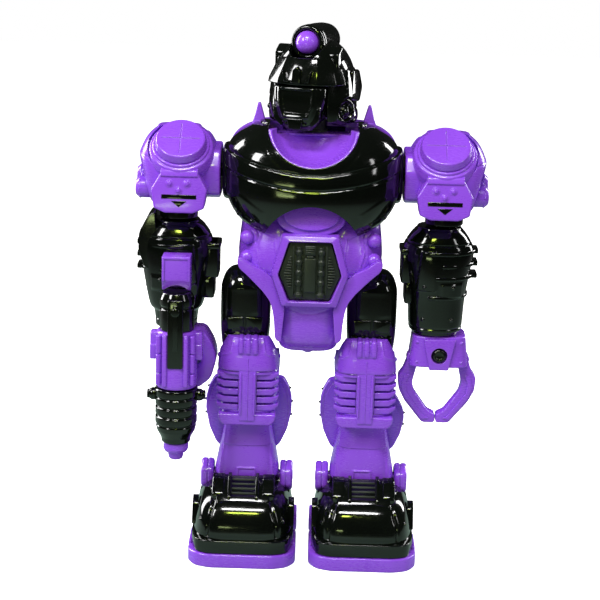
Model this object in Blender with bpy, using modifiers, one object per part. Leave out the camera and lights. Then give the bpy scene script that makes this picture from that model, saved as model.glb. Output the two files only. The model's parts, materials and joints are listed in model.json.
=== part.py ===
"""A walking toy robot, built from named plastic, metal and battery pieces that move on real joints.

Lengths are in millimetres and are turned into metres when each mesh is made.
X runs to the robot's left, its face looks along -Y, Z is up, and the floor is Z = 0.
"""

import math

import bmesh
import bpy
from mathutils import Matrix, Vector

MM = 0.001
GAP = 0.4
WALL = 2.2
FAR = 120.0
SIDES = {"right": -1, "left": 1}

# Joint places
NECK = (0.0, 0.0, 245.0)
HEAD_TURN = math.radians(-21)
SHOULDER_X = 74.0
SHOULDER_Z = 218.0
ELBOW_Z = 190.0
WRIST_Z = 128.0
CLAW_PIVOT_X = 14.0
CLAW_PIVOT_Z = 114.0
CLAW_Y = -2.0
HIP_Z = 150.0
LEG_X = 33.0
ANKLE_Z = 39.6
FOOT_X = 34.0
ROLLER_Y = 14.0
ROLLER_Z = 4.2
PARTING = 0.2

# Chest shell: height, half width, half depth
CHEST = [
    (188, 25, 29), (192, 35, 33), (198, 42.5, 36), (206, 47.5, 38), (214, 49, 38.6),
    (223, 49, 38), (232, 47.5, 35), (239, 42.5, 29), (244, 34, 23), (247, 27, 17),
]
# Belly, waist and pelvis: height, half width, half depth
BODY = [
    (123, 9, 13), (128, 15, 20), (135, 17.5, 23.5), (146, 19.5, 26), (164, 20.4, 30),
    (167, 38.5, 31.5), (176, 40, 32), (190, 36, 26.5), (200, 30, 23), (206, 24, 20.5),
]
BACK = [
    (123, 9, 13), (128, 15, 20), (135, 17.5, 22), (146, 19.5, 25), (164, 20.4, 27),
    (167, 38.5, 28), (180, 41, 30), (196, 45, 31.5), (222, 48, 32),
    (236, 45, 30), (243, 38, 25), (247, 28, 18),
]
VENT = [(11, 185), (16.7, 167), (10.8, 153)]
BIB_CENTRE = Vector((0, -21, 245))
BIB_AXIS = Vector((0, -0.83, 0.56))
BIB_RADIUS = 24.4

BATTERY_RADIUS = 7.2
BATTERY_LENGTH = 50.5
BATTERY_PITCH = 15.8
BATTERY_Y = 33.0
BATTERY_Z = 183.0

BLASTER_X = -72.0
BLASTER_Y = -30.5

PARTS = None
TOOLS = None
MATERIALS = {}


# ---------------------------------------------------------------- scene and materials


def clear_scene():
    for obj in list(bpy.data.objects):
        bpy.data.objects.remove(obj, do_unlink=True)


def new_collection(name, hidden):
    collection = bpy.data.collections.new(name)
    bpy.context.scene.collection.children.link(collection)
    collection.hide_render = hidden
    return collection


def plastic(name, colour, roughness, metallic=0.0):
    material = bpy.data.materials.new(name)
    material.use_nodes = True
    shader = material.node_tree.nodes["Principled BSDF"]
    shader.inputs["Base Color"].default_value = (*colour, 1)
    shader.inputs["Roughness"].default_value = roughness
    shader.inputs["Metallic"].default_value = metallic
    material.diffuse_color = (*colour, 1)
    MATERIALS[name] = material


def make_materials():
    plastic("purple_plastic", (0.19, 0.035, 0.62), 0.28)
    plastic("black_plastic", (0.012, 0.013, 0.012), 0.16)
    plastic("vent_plastic", (0.03, 0.034, 0.03), 0.4)
    plastic("inner_plastic", (0.06, 0.06, 0.065), 0.5)
    plastic("battery_jacket", (0.02, 0.09, 0.05), 0.35)
    plastic("steel", (0.6, 0.6, 0.62), 0.3, 1.0)
    plastic("circuit_laminate", (0.02, 0.14, 0.05), 0.45)
    plastic("rubber", (0.03, 0.03, 0.03), 0.8)


# ---------------------------------------------------------------- basic shapes


def to_object(name, mesh_builder):
    """Turns a bmesh in millimetres into a hidden tool object with outward faces, in metres."""
    bmesh.ops.recalc_face_normals(mesh_builder, faces=mesh_builder.faces)
    mesh_builder.transform(Matrix.Scale(MM, 4))
    mesh = bpy.data.meshes.new(name)
    mesh_builder.to_mesh(mesh)
    mesh_builder.free()
    obj = bpy.data.objects.new(name, mesh)
    obj.display_type = "WIRE"
    TOOLS.objects.link(obj)
    return obj


def loft(name, rings):
    """Skins rings of equal length and caps both ends."""
    builder = bmesh.new()
    rows = [[builder.verts.new(point) for point in ring] for ring in rings]
    count = len(rings[0])
    for low, high in zip(rows, rows[1:]):
        for i in range(count):
            j = (i + 1) % count
            builder.faces.new((low[i], low[j], high[j], high[i]))
    bmesh.ops.triangulate(builder, faces=builder.faces)
    builder.faces.new(rows[0])
    builder.faces.new(rows[-1])
    return to_object(name, builder)


def squircle(centre_x, centre_y, z, half_x, half_y, power, count):
    """A rounded rectangle in a level plane; power 2 is an ellipse and a high power is a box."""
    ring = []
    for i in range(count):
        angle = 2 * math.pi * (i + 0.5) / count
        c, s = math.cos(angle), math.sin(angle)
        x = math.copysign(abs(c) ** (2 / power), c) * half_x
        y = math.copysign(abs(s) ** (2 / power), s) * half_y
        ring.append((centre_x + x, centre_y + y, z))
    return ring


def stack(name, layers, centre=(0, 0), power=2.6, count=20):
    """A closed body through level rounded sections, each given as height, half width, half depth."""
    return loft(name, [squircle(*centre, z, hx, hy, power, count) for z, hx, hy in layers])


def grown(layers, amount):
    """The same sections moved outwards (or inwards when negative), ends included."""
    changed = [[z, hx + amount, hy + amount] for z, hx, hy in layers]
    changed[0][0] -= amount
    changed[-1][0] += amount
    return changed


def slab(name, outline, axis, low, high):
    """An outline pushed along an axis. The outline holds the other two coordinates, in X, Y, Z order."""
    spot = "XYZ".index(axis)
    builder = bmesh.new()
    rows = []
    for level in (low, high):
        row = []
        for point in outline:
            place = list(point)
            place.insert(spot, level)
            row.append(builder.verts.new(place))
        rows.append(row)
    count = len(outline)
    for i in range(count):
        j = (i + 1) % count
        builder.faces.new((rows[0][i], rows[0][j], rows[1][j], rows[1][i]))
    builder.faces.new(rows[0])
    builder.faces.new(rows[1])
    return to_object(name, builder)


def block(name, x, y, z):
    return slab(name, [(x[0], y[0]), (x[1], y[0]), (x[1], y[1]), (x[0], y[1])], "Z", *z)


def turned(name, profile, at=(0, 0, 0), axis=(0, 0, 1), count=14):
    """A round piece. The profile lists radius and height from its top on the axis to its bottom on the axis."""
    mesh = bpy.data.meshes.new(name)
    points = [(radius * MM, 0, height * MM) for radius, height in profile]
    mesh.from_pydata(points, [(i, i + 1) for i in range(len(points) - 1)], [])
    obj = bpy.data.objects.new(name, mesh)
    obj.display_type = "WIRE"
    TOOLS.objects.link(obj)
    obj.location = Vector(at) * MM
    obj.rotation_mode = "QUATERNION"
    obj.rotation_quaternion = Vector((0, 0, 1)).rotation_difference(Vector(axis))
    screw = obj.modifiers.new("turn", "SCREW")
    screw.steps = count
    screw.render_steps = count
    screw.use_merge_vertices = True
    screw.merge_threshold = 0.00001
    return obj


def rod(name, radius, start, end, count=12):
    """A plain round bar between two points."""
    start, end = Vector(start), Vector(end)
    length = (end - start).length
    return turned(name, [(0, length), (radius, length), (radius, 0), (0, 0)], start, end - start, count)


def ball(name, radius, at, count=8):
    arc = [math.pi * i / 4 for i in range(5)]
    profile = [(radius * math.sin(a), radius * math.cos(a)) for a in arc]
    profile[0] = (0, radius)
    profile[-1] = (0, -radius)
    return turned(name, profile, at, count=count)


def arc_points(centre, radius, start, end, steps):
    """Points on an arc, angles in degrees."""
    points = []
    for i in range(steps + 1):
        angle = math.radians(start + (end - start) * i / steps)
        points.append((centre[0] + radius * math.cos(angle), centre[1] + radius * math.sin(angle)))
    return points


def mirrored(outline, middle=0.0):
    return [(2 * middle - u, v) for u, v in outline]


# ---------------------------------------------------------------- changes to shapes


def soften(obj, width, segments=1, angle=40):
    bevel = obj.modifiers.new("soften", "BEVEL")
    bevel.width = width * MM
    bevel.segments = segments
    bevel.limit_method = "ANGLE"
    bevel.angle_limit = math.radians(angle)
    return obj


def combine(obj, other, operation):
    boolean = obj.modifiers.new(operation.lower(), "BOOLEAN")
    boolean.operation = operation
    boolean.solver = "EXACT"
    boolean.object = other
    return obj


def cut(obj, *others):
    for other in others:
        combine(obj, other, "DIFFERENCE")
    return obj


def fuse(obj, *others):
    for other in others:
        combine(obj, other, "UNION")
    return obj


def keep(obj, other):
    return combine(obj, other, "INTERSECT")


def node(obj, name, material):
    """Makes a finished shape one of the robot's pieces."""
    TOOLS.objects.unlink(obj)
    PARTS.objects.link(obj)
    obj.name = name
    obj.display_type = "TEXTURED"
    obj.data.materials.append(MATERIALS[material])
    for polygon in obj.data.polygons:
        polygon.use_smooth = False
    return obj


def hang(obj, pivot):
    """Parents an object, and the tools that shape it, to a joint's empty without moving them."""
    if obj.parent is None:
        obj.parent = pivot
        obj.matrix_parent_inverse = Matrix.Translation(pivot.location).inverted()
    for modifier in obj.modifiers:
        if modifier.type == "BOOLEAN" and modifier.object:
            hang(modifier.object, pivot)


def body(name, place, pieces, parent=None):
    """An empty on a joint's axis that carries the pieces of one moving body."""
    pivot = bpy.data.objects.new(name, None)
    pivot.empty_display_size = 0.01
    PARTS.objects.link(pivot)
    pivot.location = Vector(place) * MM
    bpy.context.view_layer.update()
    for piece in pieces:
        hang(piece, pivot)
    if parent:
        pivot.parent = parent
        pivot.matrix_parent_inverse = Matrix.Translation(parent.location).inverted()
    return pivot


# ---------------------------------------------------------------- torso


def vent_outline(margin):
    right = [(x + margin, z + margin * (z - 169) / 16) for x, z in VENT]
    return right + mirrored(right)[::-1]


def axle_hole(z, radius):
    return rod("axle_hole", radius, (-FAR, 0, z), (FAR, 0, z))


def bib_opening():
    start = BIB_CENTRE - 12.6 * BIB_AXIS
    return rod("bib_opening", BIB_RADIUS + GAP, start, BIB_CENTRE + 60 * BIB_AXIS, 32)


def chest_plate():
    shell = stack("chest", CHEST, power=2.8, count=24)
    cut(shell, stack("chest_inside", grown(CHEST, -WALL), power=2.8, count=24))
    cut(shell, block("rear", (-FAR, FAR), (-PARTING, FAR), (0, 400)))
    arch = rod("arch", 30, (0, -60, 175.5), (0, -15, 175.5), 32)
    cut(shell, arch, stack("body_room", grown(BODY, GAP), count=28))
    cut(shell, bib_opening(), block("neck_room", (-BIB_RADIUS, BIB_RADIUS), (-14, 5), (236, 260)))
    cut(shell, axle_hole(SHOULDER_Z, 4.6))
    return node(shell, "chest_plate", "black_plastic")


def collar_bib():
    bowl = [(0, -10), (13, -8.2), (20, -4.5), (22.7, 0), (BIB_RADIUS, 0), (BIB_RADIUS, -2),
            (21, -7), (13, -10.4), (0, -12)]
    dish = turned("dish", bowl, BIB_CENTRE, BIB_AXIS, 32)
    cut(dish, block("rim_level", (-FAR, FAR), (-60, 30), (244, 300)))
    cut(dish, block("chin_room", (-20, 20), (-20, 30), (241.5, 300)))
    fuse(dish, block("neck_floor", (-19, 19), (-26, -0.6), (238.6, 240.2)))
    cut(dish, rod("neck_room", 8.2, (0, 0, 230), (0, 0, 260)))
    return node(dish, "collar_bib", "purple_plastic")


def front_shell():
    shell = stack("body", BODY, count=28)
    hip_guard = [(15, 170), (39.5, 170), (39.5, 165), (33, 160.5), (27, 153), (21, 145.5), (15, 145)]
    for side in SIDES.values():
        outline = [(side * x, z) for x, z in hip_guard]
        fuse(shell, slab("hip_guard", outline, "Y", -30, -19))
        for z in (172, 181):
            fuse(shell, ball("waist_ball", 4, (side * 37, -20, z)))
    fuse(shell, slab("vent_frame", vent_outline(4.5), "Y", -34, -24))
    fuse(shell, ball("crotch_knob", 3.2, (0, -12, 121)))
    cut(shell, stack("body_inside", grown(BODY, -2)[:-1] + [(220, 22, 23)], count=28))
    cut(shell, block("rear", (-FAR, FAR), (-PARTING, FAR), (0, 400)))
    cut(shell, slab("vent_hole", vent_outline(GAP), "Y", -50, -20))
    cut(shell, axle_hole(HIP_Z, 2.7))
    return node(shell, "front_shell", "purple_plastic")


def vent_grille():
    plate = slab("grille", vent_outline(0), "Y", -33, -29)
    for x in (-5.4, 5.4):
        fuse(plate, rod("pipe", 2.1, (x, -33.2, 157), (x, -33.2, 181), 12))
    fuse(plate, block("centre_slab", (-3, 3), (-35, -31), (159, 183.5)))
    for z in range(158, 182, 4):
        for side in SIDES.values():
            cut(plate, block("slot", sorted((side * 8.6, side * 12.6)), (-36, -31.6), (z, z + 2)))
    return node(plate, "vent_grille", "vent_plastic")


COLLAR_TIP = [(17, 240), (36, 240), (33, 248), (30.8, 255.4), (29.6, 255.4), (29.6, 247.4), (17, 247.4)]


def back_shell():
    shell = stack("back", BACK, count=28)
    pack = soften(block("pack", (-30, 30), (18, 43), (171, 240)), 2.5)
    fuse(shell, pack)
    for side in SIDES.values():
        tip = [(side * x, z) for x, z in COLLAR_TIP]
        fuse(shell, slab("collar_tip", tip, "Y", 1, 4))
    inside = grown(BACK, -2)
    cut(shell, stack("back_inside", inside, count=28))
    cut(shell, block("front", (-FAR, FAR), (-FAR, PARTING), (0, 400)))
    cut(shell, block("tray_room", (-27.4, 27.4), (10, 60), (179, 237)))
    cut(shell, axle_hole(HIP_Z, 2.7), axle_hole(SHOULDER_Z, 4.6))
    cut(shell, block("switch_slot", (-5.4, 5.4), (20, 40), (152.6, 158.4)))
    cut(shell, rod("neck_hole", 6.8, (0, 0, 240), (0, 0, 260)))
    return node(shell, "back_shell", "purple_plastic")


def battery_tray():
    tray = block("tray", (-27, 27), (21.5, 42.6), (179.4, 236.6))
    cut(tray, block("pocket", (-24.8, 24.8), (23.5, 60), (181, 235.4)))
    return node(tray, "battery_tray", "inner_plastic")


def battery(index):
    low = BATTERY_Z
    high = BATTERY_Z + BATTERY_LENGTH
    profile = [
        (0, high), (2.7, high), (2.7, high - 1.2), (BATTERY_RADIUS, high - 1.4), (BATTERY_RADIUS, low + 0.3),
        (5.5, low), (0, low),
    ]
    x = (index - 2) * BATTERY_PITCH
    return node(turned("cell", profile, (x, BATTERY_Y, 0)), f"battery_{index}", "battery_jacket")


def battery_door():
    door = soften(block("door", (-29.4, 29.4), (43.4, 46), (172.4, 239.4)), 0.9)
    for z in (190, 200, 210, 220):
        cut(door, block("groove", (-20, 20), (45.2, 50), (z, z + 3)))
    cut(door, rod("screw_well", 2.8, (0, 44.6, 177), (0, 50, 177)))
    return node(door, "battery_door", "purple_plastic")


def drive_motor():
    profile = [(0, 201), (1, 201), (1, 199.5), (3, 199.5), (3, 198), (9, 198), (9, 173), (0, 173)]
    return node(turned("motor", profile, (0, 4, 0)), "drive_motor", "steel")


def gearbox_case():
    case = soften(block("case", (-13, 13), (-13, 13), (139, 172.4)), 1.2)
    cut(case, axle_hole(HIP_Z, 2.7))
    return node(case, "gearbox_case", "inner_plastic")


def hip_axle():
    return node(rod("axle", 2.3, (-42, 0, HIP_Z), (42, 0, HIP_Z)), "hip_axle", "steel")


def circuit_board():
    return node(block("board", (-20, 20), (16, 17.6), (184, 232)), "circuit_board", "circuit_laminate")


def speaker():
    profile = [(0, 12), (14, 12), (14, 9), (6, 2), (6, 0), (0, 0)]
    return node(turned("speaker", profile, (0, -5.6, 207), (0, -1, 0)), "speaker", "vent_plastic")


def power_switch():
    knob = block("knob", (-2.5, 2.5), (21.6, 28.6), (153.2, 157.8))
    fuse(knob, block("slider", (-5.6, 5.6), (20.2, 22), (151.5, 159.5)))
    return node(knob, "power_switch", "black_plastic")


# ---------------------------------------------------------------- head

HELMET = [(248.4, 21.5, 22), (256, 23, 23), (268, 22.3, 22.5), (278, 20, 21), (286, 15, 17.5), (292, 8.5, 11)]
HEAD_CENTRE = (0, -2.5)
CREST_Z = 290.4


def crest_room():
    return rod("crest_room", 9.9, (0, -40, CREST_Z), (0, 21, CREST_Z), 20)


def helmet():
    shell = stack("helmet", HELMET, HEAD_CENTRE, count=24)
    inside = [(240, 19, 19.5)] + grown(HELMET, -2.2)[1:-1]
    cut(shell, stack("helmet_inside", inside, HEAD_CENTRE, count=24))
    cut(shell, block("face_room", (-15.4, 15.4), (-60, -9), (230, 268.4)))
    cut(shell, crest_room())
    for side in SIDES.values():
        cut(shell, rod("ear_room", 7.4, (side * 19, -8, 255), (side * 40, -8, 255)))
        lug = soften(block("lug", sorted((side * 12, side * 18)), (-14, -6), (277, 287)), 1.5)
        fuse(shell, lug)
    return node(shell, "helmet", "black_plastic")


def visor():
    band = stack("band", grown(HELMET, 2.4), HEAD_CENTRE, count=24)
    cut(band, stack("band_inside", grown(HELMET, GAP), HEAD_CENTRE, count=24))
    keep(band, block("band_part", (-FAR, FAR), (-60, -8), (268.8, 280)))
    return node(band, "visor", "black_plastic")


def face_mask():
    layers = [(244.4, 7, 5), (248, 11.5, 7.5), (256, 13.8, 8.4), (262, 14.8, 8.8), (267.8, 14.8, 8.8)]
    mask = stack("mask", layers, (0, -21), power=3.2)
    cut(mask, block("window", (-8, 8), (-40, -28.6), (253.5, 265)))
    return node(mask, "face_mask", "black_plastic")


def crest_barrel():
    profile = [(0, 20), (5, 19), (8.4, 15), (9.5, 8), (9.5, -13), (8.8, -14.5), (6.9, -14.5), (6.9, -11), (0, -11)]
    barrel = turned("barrel", profile, (0, 0, CREST_Z), (0, 1, 0), 20)
    return node(barrel, "crest_barrel", "black_plastic")


def forehead_lamp():
    arc = arc_points((0, -14), 6.2, 0, -90, 4)
    profile = [(0, -11.5), (6.2, -11.5)] + arc[:-1] + [(0, -20.2)]
    return node(turned("lamp", profile, (0, 0, CREST_Z), (0, 1, 0)), "forehead_lamp", "purple_plastic")


def ear_pod(side_name):
    side = SIDES[side_name]
    profile = [(0, 5), (4, 5), (7, 3), (7, 0), (0, 0)]
    pod = turned("pod", profile, (side * 19.8, -8, 255), (side, 0, 0))
    return node(pod, f"ear_pod_{side_name}", "black_plastic")


def neck_post():
    profile = [(0, 266), (6.2, 266), (6.2, 242.6), (7.6, 242.6), (7.6, 240.4), (0, 240.4)]
    return node(turned("post", profile), "neck_post", "inner_plastic")


# ---------------------------------------------------------------- shoulders and upper arms

POD = [
    (197, 12, 13), (202, 17, 18), (208, 19.5, 22), (218, 21.2, 23),
    (230, 21.2, 21.5), (239, 17.5, 16.5), (246, 10.5, 9),
]
BOSS_HEIGHT = 27.2
CAP_TILT = Vector((0, -0.66, 0.75)).normalized()


def shoulder_pod(side_name):
    side = SIDES[side_name]
    centre = (side * SHOULDER_X, 0)
    pod = stack("pod", POD, centre, power=3.6, count=20)
    boss = [(0, BOSS_HEIGHT), (15.8, BOSS_HEIGHT), (17.8, BOSS_HEIGHT - 2.6), (17.8, 8), (0, 8)]
    middle = Vector((side * SHOULDER_X, 0, SHOULDER_Z))
    fuse(pod, turned("boss", boss, middle, CAP_TILT, 20))
    cut(pod, rod("cap_room", 18, middle + BOSS_HEIGHT * CAP_TILT, middle + 60 * CAP_TILT))
    brow = [(-29, 205), (-31, 213), (-28, 221), (-15, 224), (-15, 203)]
    x = sorted((side * 61, side * 88))
    fuse(pod, soften(slab("brow", brow, "X", *x), 1.2))
    flank = [(-17, 206), (-19, 222), (-14, 236), (8, 239), (18, 226), (15, 206), (4, 202), (-8, 202)]
    fuse(pod, soften(slab("flank", flank, "X", *sorted((side * 50.4, side * 60))), 0.8))
    cut(pod, rod("disc_room", 12.6, (side * 40, 0, SHOULDER_Z), (side * 52.8, 0, SHOULDER_Z), 20))
    cut(pod, rod("axle_room", 4.7, (side * 40, 0, SHOULDER_Z), (side * 62.6, 0, SHOULDER_Z)))
    cut(pod, rod("arm_room", 11.2, (side * SHOULDER_X, 0, 190), (side * SHOULDER_X, 0, 203.4), 14))
    cut(pod, block("booster_room", sorted((side * 92, side * 110)), (-14, 14), (199, 222)))
    return node(pod, f"shoulder_pod_{side_name}", "purple_plastic")


def shoulder_cap(side_name):
    place = (SIDES[side_name] * SHOULDER_X, 0, SHOULDER_Z)
    low = BOSS_HEIGHT + GAP
    profile = [(0, low + 3), (13, low + 3), (14, low + 2), (14, low), (0, low)]
    cap = turned("cap", profile, place, CAP_TILT, 20)
    return node(cap, f"shoulder_cap_{side_name}", "purple_plastic")


def shoulder_booster(side_name):
    side = SIDES[side_name]
    x = (side * 92.5, 0, 0)
    lobes = []
    for y, z in ((-5, 208), (3, 213.5)):
        profile = [(0, 5), (4, 5), (6, 3), (6, 0), (0, 0)]
        lobes.append(turned("lobe", profile, (x[0], y, z), (side, 0, 0), 12))
    fuse(lobes[0], lobes[1])
    return node(lobes[0], f"shoulder_booster_{side_name}", "purple_plastic")


def shoulder_axle(side_name):
    side = SIDES[side_name]
    profile = [(0, 62), (4.2, 62), (4.2, 52.2), (11.6, 52.2), (12, 50.2), (4.2, 50.2), (4.2, 44)]
    profile += [(7, 44), (7, 42), (0, 42)]
    axle = turned("axle", profile, (0, 0, SHOULDER_Z), (side, 0, 0), 16)
    return node(axle, f"shoulder_axle_{side_name}", "black_plastic")


def upper_arm(side_name):
    profile = [(0, 203), (10.6, 203), (10.6, 191), (7.6, 190.4), (7.6, 182), (0, 182)]
    arm = turned("arm", profile, (SIDES[side_name] * SHOULDER_X, 0, 0))
    return node(arm, f"upper_arm_{side_name}", "black_plastic")


# ---------------------------------------------------------------- forearms

GAUNTLET = {
    "right": [
        (129, 14, 13), (134, 15.6, 15), (148, 17.5, 17), (163, 19, 18), (178, 20, 17.5), (186, 16, 15), (190, 12, 12),
    ],
    "left": [
        (129, 13, 13), (134, 14, 14.5), (151, 16, 16.5), (164, 18, 18), (177, 19.8, 17.5), (185, 16, 15), (190, 12, 12),
    ],
}
GAUNTLET_SHIFT = {"right": 0.8, "left": -2.4}


def gauntlet(side_name):
    side = SIDES[side_name]
    elbow = side * SHOULDER_X
    middle = elbow + side * GAUNTLET_SHIFT[side_name]
    arm = stack("gauntlet", GAUNTLET[side_name], (middle, 0), power=2.4)
    inner_box = soften(block("box", sorted((side * 50.8, side * 62)), (-9, 9), (158, 181)), 1.5)
    fuse(arm, inner_box)
    for z in (163, 170, 177):
        outer = middle + side * 22
        fuse(arm, soften(block("fin", sorted((side * 82, outer)), (-9, 7), (z - 1.6, z + 1.6)), 0.6))
    cut(arm, rod("arm_room", 8, (elbow, 0, 181.5), (elbow, 0, 200)))
    return node(arm, f"gauntlet_{side_name}", "black_plastic")


def hand_right():
    outline = [(-80, 128.4), (-58, 128.4), (-53, 120), (-51, 112), (-54, 101), (-61, 95), (-66, 97), (-66, 104),
               (-59, 110), (-62, 118), (-80, 121)]
    hand = soften(slab("hand", outline, "Y", -14, 6), 1)
    fuse(hand, soften(block("grip", (-80, -66), (-20, 4), (104, 124)), 1))
    return node(hand, "hand_right", "purple_plastic")


def blaster_piece(name, profile, material, extras=()):
    piece = turned(name, profile, (BLASTER_X, BLASTER_Y, 0))
    fuse(piece, *extras)
    return node(piece, name, material)


def blaster_sight():
    box = block("box", (-80.4, -64.8), (-33, -20.6), (155.6, 174.8))
    return node(soften(box, 1.2), "blaster_sight", "purple_plastic")


def blaster_barrel():
    profile = [(0, 155.2), (8.2, 155.2), (9.6, 151), (9.6, 134.4), (0, 134.4)]
    strip = soften(block("strip", (BLASTER_X - 3.4, BLASTER_X + 3.4), (-42, -32), (135.4, 153)), 0.8)
    return blaster_piece("blaster_barrel", profile, "black_plastic", [strip])


def blaster_sleeve():
    profile = [(0, 134), (9.8, 134), (9.8, 104), (10.2, 104), (10.2, 101.4), (0, 101.4)]
    extras = []
    for side in (-1, 1):
        x = sorted((BLASTER_X + side * 8, BLASTER_X + side * 14.4))
        extras.append(soften(block("lug", x, (-34, -27), (108, 127)), 1.5))
        rail = sorted((BLASTER_X + side * 3.2, BLASTER_X + side * 5.2))
        extras.append(block("rail", rail, (-41.6, -34), (105, 132)))
    return blaster_piece("blaster_sleeve", profile, "purple_plastic", extras)


def blaster_nozzle():
    profile = [(0, 101), (12, 101), (12, 96)]
    for z in (94, 86):
        profile += [(10.6, z), (10.6, z - 4), (9.4, z - 5)]
    profile += [(9.4, 77), (6.4, 69.4), (0, 69.4)]
    ears = [ball("ear", 3.6, (BLASTER_X + side * 12.6, BLASTER_Y, 97)) for side in (-1, 1)]
    return blaster_piece("blaster_nozzle", profile, "black_plastic", ears)


def blaster_tip():
    profile = [(0, 69), (5.6, 69), (5.6, 64), (4.6, 63), (4.6, 59.6), (0, 59)]
    return blaster_piece("blaster_tip", profile, "purple_plastic")


def wrist_block():
    layers = [(110.8, 16.6, 13), (112, 16.8, 13.2), (128.4, 15, 12)]
    wrist = stack("wrist", layers, (SHOULDER_X, 0), power=5)
    for side in (-1, 1):
        x = sorted((SHOULDER_X + side * 8.6, SHOULDER_X + side * 30))
        cut(wrist, block("finger_room", x, (CLAW_Y - 4.4, CLAW_Y + 4.4), (100, 119)))
    cut(wrist, rod("button_room", 4.4, (SHOULDER_X, -30, 118), (SHOULDER_X, -8.6, 118)))
    return node(wrist, "wrist_block", "purple_plastic")


def wrist_button():
    profile = [(0, 14.4), (3.2, 14.4), (4, 13.6), (4, 10.6), (0, 10.6)]
    button = turned("button", profile, (SHOULDER_X, 0, 118), (0, -1, 0))
    return node(button, "wrist_button", "black_plastic")


def claw_finger(name, side):
    """One hooked finger, drawn for the inner side and mirrored about the wrist for the outer one."""
    hook = [(-12.4, 107), (-14, 100), (-12.8, 94.6), (-4.6, 83), (-0.2, 81), (-0.2, 76), (-7.6, 76), (-18, 88.8),
            (-21.6, 95.8), (-22.2, 103.4), (-19.4, 107.4)]
    eye = arc_points((-CLAW_PIVOT_X, CLAW_PIVOT_Z), 3.8, 200, 20, 5)
    outline = [(SHOULDER_X - side * x * -1, z) for x, z in hook + eye]
    finger = slab("finger", outline, "Y", CLAW_Y - 4, CLAW_Y + 4)
    return node(soften(finger, 0.8, angle=60), name, "purple_plastic")


# ---------------------------------------------------------------- legs and feet

CALF = [
    (42.2, 18, 15.2), (45, 18.3, 15.8), (56, 16.4, 15), (66, 14.4, 14), (76, 13.2, 13), (96, 13, 13), (116, 13, 12.6),
]
GUARD = [
    (76, 14.8, 17.5), (77, 15.2, 18.5), (82.4, 15.8, 18.5), (83.2, 16, 18.4), (107.6, 17.4, 20.8), (109, 17.4, 21.6),
    (117, 16.4, 21), (124, 13.8, 19.4), (127.6, 12, 17),
]
FIN = [(8, 58), (16, 60), (19.4, 62), (24.2, 76), (24.8, 85), (23.2, 92), (20.4, 97.4), (8, 101)]
CLAW_SIDE_FIN = [(8, 58), (16, 60), (19.4, 62), (23.6, 71), (24.2, 78), (20, 86), (12, 96), (8, 96)]
DOME = [(8.4, 28.6, 40), (16.6, 28.8, 40), (18.6, 28.4, 38.6), (27, 27, 35), (33.4, 24.6, 28), (36.8, 20, 20)]


def thigh(side_name):
    side = SIDES[side_name]
    outline = arc_points((0, HIP_Z), 14, 0, 180, 10) + [(-14, 132), (-12, 122), (-9.5, 117), (10, 117), (13, 124)]
    leg = slab("thigh", outline, "X", *sorted((side * 21.6, side * 49.6)))
    front_view = [(21, 100), (49.6, 100)] + arc_points((36.1, 150.6), 13.5, 0, 90, 6) + [(21, 164.1)]
    keep(leg, slab("thigh_front_view", [(side * x, z) for x, z in front_view], "Y", -40, 40))
    soften(leg, 2.4, 2, 50)
    cut(leg, rod("axle_room", 2.7, (side * 10, 0, HIP_Z), (side * 43, 0, HIP_Z)))
    return node(leg, f"thigh_{side_name}", "black_plastic")


def shin_guard(side_name):
    middle = SIDES[side_name] * LEG_X
    guard = stack("guard", GUARD, (middle, -2), power=3, count=20)
    for z in (87, 92.4, 97.8, 103.2):
        cut(guard, block("louvre", (middle - 12.6, middle + 12.6), (-40, -18.3), (z, z + 1.9)))
    fuse(guard, soften(block("ridge", (middle - 4.4, middle + 4.4), (-24, -10), (79.6, 124.4)), 1))
    cut(guard, block("rear", (middle - 40, middle + 40), (4, 60), (60, 140)))
    cut(guard, stack("calf_room", grown(CALF, GAP), (middle, 0)))
    room = [(-10.4, 115), (-12.8, 122), (-14.8, 132), (-14.8, 140), (60, 140), (60, 115)]
    cut(guard, slab("thigh_room", room, "X", middle - 40, middle + 40))
    return node(guard, f"shin_guard_{side_name}", "purple_plastic")


def calf_shell(side_name):
    middle = SIDES[side_name] * LEG_X
    calf = stack("calf", CALF, (middle, 0))
    for side in (-1, 1):
        # The fin beside the claw is cut back so that the claw turns past it.
        fin = CLAW_SIDE_FIN if side_name == "left" and side > 0 else FIN
        outline = [(middle + side * x, z) for x, z in fin]
        fuse(calf, soften(slab("fin", outline, "Y", 5, 11.5), 1))
    tongue = arc_points((0, ANKLE_Z), 6.4, 180, 360, 8) + [(6.4, 50), (-6.4, 50)]
    fuse(calf, slab("tongue", tongue, "X", middle - 6, middle + 6))
    cut(calf, rod("pin_room", 2.6, (middle - 10, 0, ANKLE_Z), (middle + 10, 0, ANKLE_Z)))
    return node(calf, f"calf_shell_{side_name}", "purple_plastic")


def foot_upper(side_name):
    side = SIDES[side_name]
    middle = side * FOOT_X
    leg = side * LEG_X
    dome = stack("dome", DOME, (middle, -5), power=4.5, count=28)
    instep = [(-18.6, 43.4), (-23, 42.4), (-37, 31.6), (-37, 25), (-18.6, 25)]
    fuse(dome, slab("instep", instep, "X", middle - 20, middle + 20))
    slot = arc_points((0, ANKLE_Z), 7.4, 180, 360, 8) + [(7.4, 70), (-7.4, 70)]
    cut(dome, slab("slot", slot, "X", leg - 6.6, leg + 6.6))
    for way in (-1, 1):
        x = (leg + way * 18, leg + way * 60)
        cut(dome, rod("pod_room", 10.2, (x[0], 0, ANKLE_Z), (x[1], 0, ANKLE_Z), 24))
    panel = [(-18, 41), (-22.4, 39.6), (-33, 31.6), (-33, 50), (-18, 50)]
    cut(dome, slab("panel", panel, "X", middle - 6.8, middle + 6.8))
    return node(dome, f"foot_upper_{side_name}", "black_plastic")


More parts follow.
